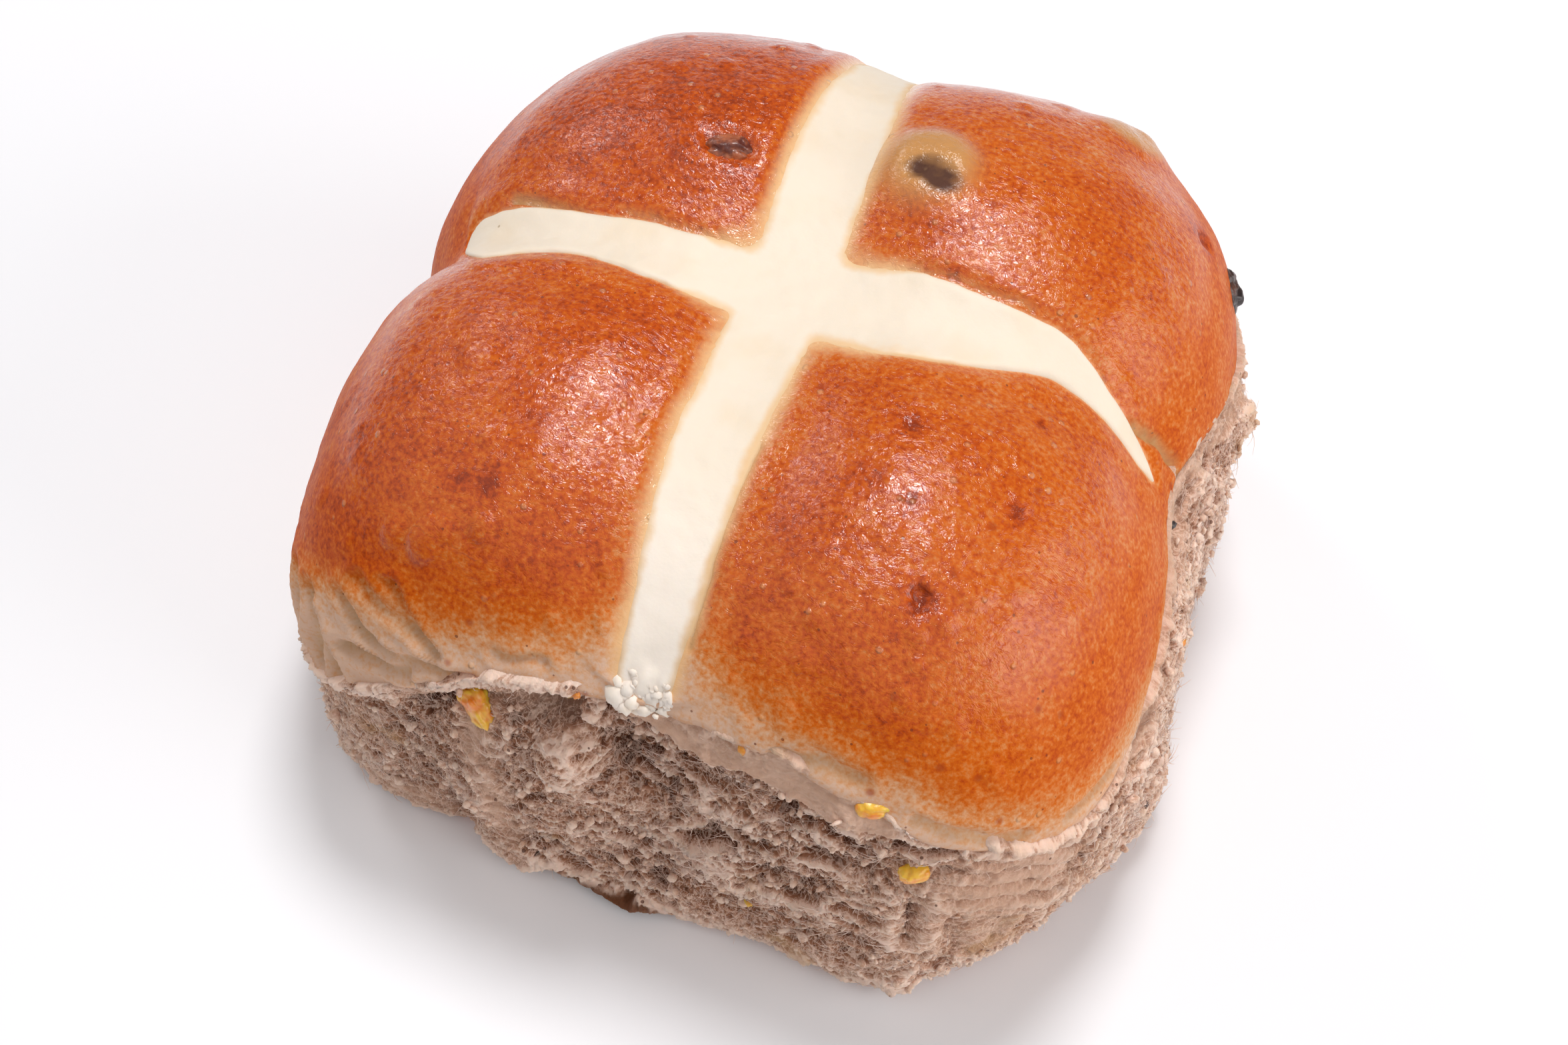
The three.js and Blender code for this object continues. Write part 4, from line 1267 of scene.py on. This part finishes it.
def fibres(face, pick):
    # three-sided threads that leave the wall and bend in a parabola, thinner to the tip
    f, number = fibreLook, fibreLook["perPatch"]
    root, outward = pickSpots(face, number, pick)
    along = np.stack([-outward[:, 1], outward[:, 0], np.zeros(number)], -1)
    length, radius = pick.uniform(*f["length"], number), pick.uniform(*f["radius"], number)
    swing, rise = pick.normal(0, f["swing"], number), pick.normal(*f["rise"], number)
    lean = outward * pick.uniform(*f["lean"], (number, 1)) + along * swing[:, None]
    lean = lean + np.array([0, 0, 1]) * rise[:, None]
    lean = lean / np.linalg.norm(lean, axis=1, keepdims=True)
    bend = pick.normal(0, f["bend"], (number, 3)) - f["inward"] * outward
    t = np.linspace(0, 1, f["steps"])[None, :, None]
    run = length[:, None, None] * (lean[:, None] * t + bend[:, None] * t * t)
    line = root[:, None] - 0.03 * outward[:, None] + run
    side = np.cross(lean, outward + 0.01)
    side = side / np.linalg.norm(side, axis=1, keepdims=True)
    third = np.cross(side, lean)
    angle = np.arange(3) * 2 * np.pi / 3
    spoke = side[:, None] * np.cos(angle)[None, :, None] + third[:, None] * np.sin(angle)[None, :, None]
    thin = (radius[:, None] * (1 - 0.75 * t[0, :, 0])[None, :])[:, :, None, None]
    points = line[:, :, None] + spoke[:, None] * thin
    ring = gridQuads(f["steps"], 3, True)
    ends = np.array([[2, 1, 0], [3 * f["steps"] - 3, 3 * f["steps"] - 2, 3 * f["steps"] - 1]])
    offsets = np.arange(number)[:, None, None] * 3 * f["steps"]
    faces = [(ring[None] + offsets).reshape(-1, 4), (ends[None] + offsets).reshape(-1, 3)]
    return points.reshape(-1, 3), faces


def joinParts(parts):
    # several sets of points and faces as one
    points, faceSets, at = [], [], 0
    for some, faces in parts:
        points.append(some)
        faceSets += [part + at for part in faces]
        at += len(some)
    return np.vstack(points), faceSets


def plainLooks(number, deep):
    return {"deep": np.full(number, deep), "skinLike": np.zeros(number), "baseBrown": np.zeros(number)}


def fibrePiece():
    pick = np.random.default_rng(fibreLook["seed"])
    points, faces = joinParts([fibres(face, pick) for face in crumbFaces.values()])
    makePiece("crumbFibres", points, faces, crumbSkin, plainLooks(len(points), -0.1))


def flakePiece():
    pick = np.random.default_rng(flakeLook["seed"])
    parts = []
    for face in crumbFaces.values():
        root, outward = pickSpots(face, flakeLook["perPatch"], pick)
        size = mostlySmall(pick, len(root), 2, *flakeLook["size"])
        parts.append(lumps(root + outward * 0.25 * size[:, None], size, pick))
    points, faces = joinParts(parts)
    makePiece("crumbFlakes", points, faces, crumbSkin, plainLooks(len(points), 0.05))


fibrePiece()
flakePiece()

# floor, light and camera

stageLook = {"floor": (0.95, 0.955, 0.985), "around": 0.18}
view = {
    "azimuth": 19.3, "height": 57.8, "roll": 1.3, "distance": 207.0, "lookUp": 20.0, "across": -0.48,
    "up": -4.8, "lens": 55.1,
}
lamps = {
    "keyRight": {
        "azimuth": -4, "height": 20, "distance": 600, "size": 520, "power": 1.9,
        "colour": (1, 0.985, 0.97),
    },
    "overhead": {
        "azimuth": 90, "height": 77, "distance": 450, "size": 130, "power": 1.15,
        "colour": (1, 0.985, 0.98),
    },
    "backLeft": {
        "azimuth": 152, "height": 38, "distance": 520, "size": 150, "power": 0.4,
        "colour": (1, 0.985, 0.98),
    },
    "topFront": {
        "azimuth": -60, "height": 55, "distance": 600, "size": 1000, "power": 1.05,
        "colour": (1, 0.99, 0.98),
    },
    "leftFront": {
        "azimuth": -155, "height": 35, "distance": 600, "size": 700, "power": 0.5,
        "colour": (1, 0.99, 0.985),
    },
}


def towards(azimuth, height):
    a, e = azimuth * deg, height * deg
    return np.array([np.cos(a) * np.cos(e), np.sin(a) * np.cos(e), np.sin(e)])


def makeStage():
    mesh = bpy.data.meshes.new("floor")
    mesh.from_pydata([(-3, -3, 0), (3, -3, 0), (3, 3, 0), (-3, 3, 0)], [], [(0, 1, 2, 3)])
    floor = bpy.data.objects.new("floor", mesh)
    bpy.context.scene.collection.objects.link(floor)
    n = Nodes("paleFloor")
    shade = n.noise(6, 2.0)
    colour = n.mix(shade, stageLook["floor"], tuple(0.99 * c for c in stageLook["floor"]))
    mesh.materials.append(n.finish(Base_Color=colour, Roughness=0.9))
    world = bpy.data.worlds.new("softRoom")
    world.use_nodes = True
    world.node_tree.nodes["Background"].inputs["Color"].default_value = (1, 0.99, 0.99, 1)
    world.node_tree.nodes["Background"].inputs["Strength"].default_value = stageLook["around"]
    bpy.context.scene.world = world


def makeLamps():
    for name, lamp in lamps.items():
        data = bpy.data.lights.new(name, "AREA")
        data.shape, data.size = "DISK", lamp["size"] * mm
        data.energy, data.color = lamp["power"], lamp["colour"]
        light = bpy.data.objects.new(name, data)
        bpy.context.scene.collection.objects.link(light)
        aim = Vector((0, 0, 20 * mm))
        light.location = aim + Vector(towards(lamp["azimuth"], lamp["height"])) * lamp["distance"] * mm
        light.rotation_euler = (light.location - aim).to_track_quat("Z", "Y").to_euler()


def makeCamera():
    # the camera stands back from a point in the bun along the view, rolled a little and slid across and up
    a, e, r = view["azimuth"] * deg, view["height"] * deg, view["roll"] * deg
    back = Vector((np.sin(a) * np.cos(e), -np.cos(a) * np.cos(e), np.sin(e)))
    right = Vector((np.cos(a), np.sin(a), 0))
    up = back.cross(right)
    right, up = right * np.cos(r) + up * np.sin(r), up * np.cos(r) - right * np.sin(r)
    data = bpy.data.cameras.new("camera")
    data.sensor_width, data.lens, data.clip_start = 36, view["lens"], 0.01
    camera = bpy.data.objects.new("camera", data)
    bpy.context.scene.collection.objects.link(camera)
    aim = Vector((*crossCentre, view["lookUp"]))
    place = (aim + back * view["distance"] + right * view["across"] + up * view["up"]) * mm
    camera.matrix_world = Matrix.Translation(place) @ Matrix((right, up, back)).transposed().to_4x4()
    bpy.context.scene.camera = camera


makeStage()
makeLamps()
makeCamera()
bpy.context.scene.view_settings.view_transform = "Standard"
print("stage ready")
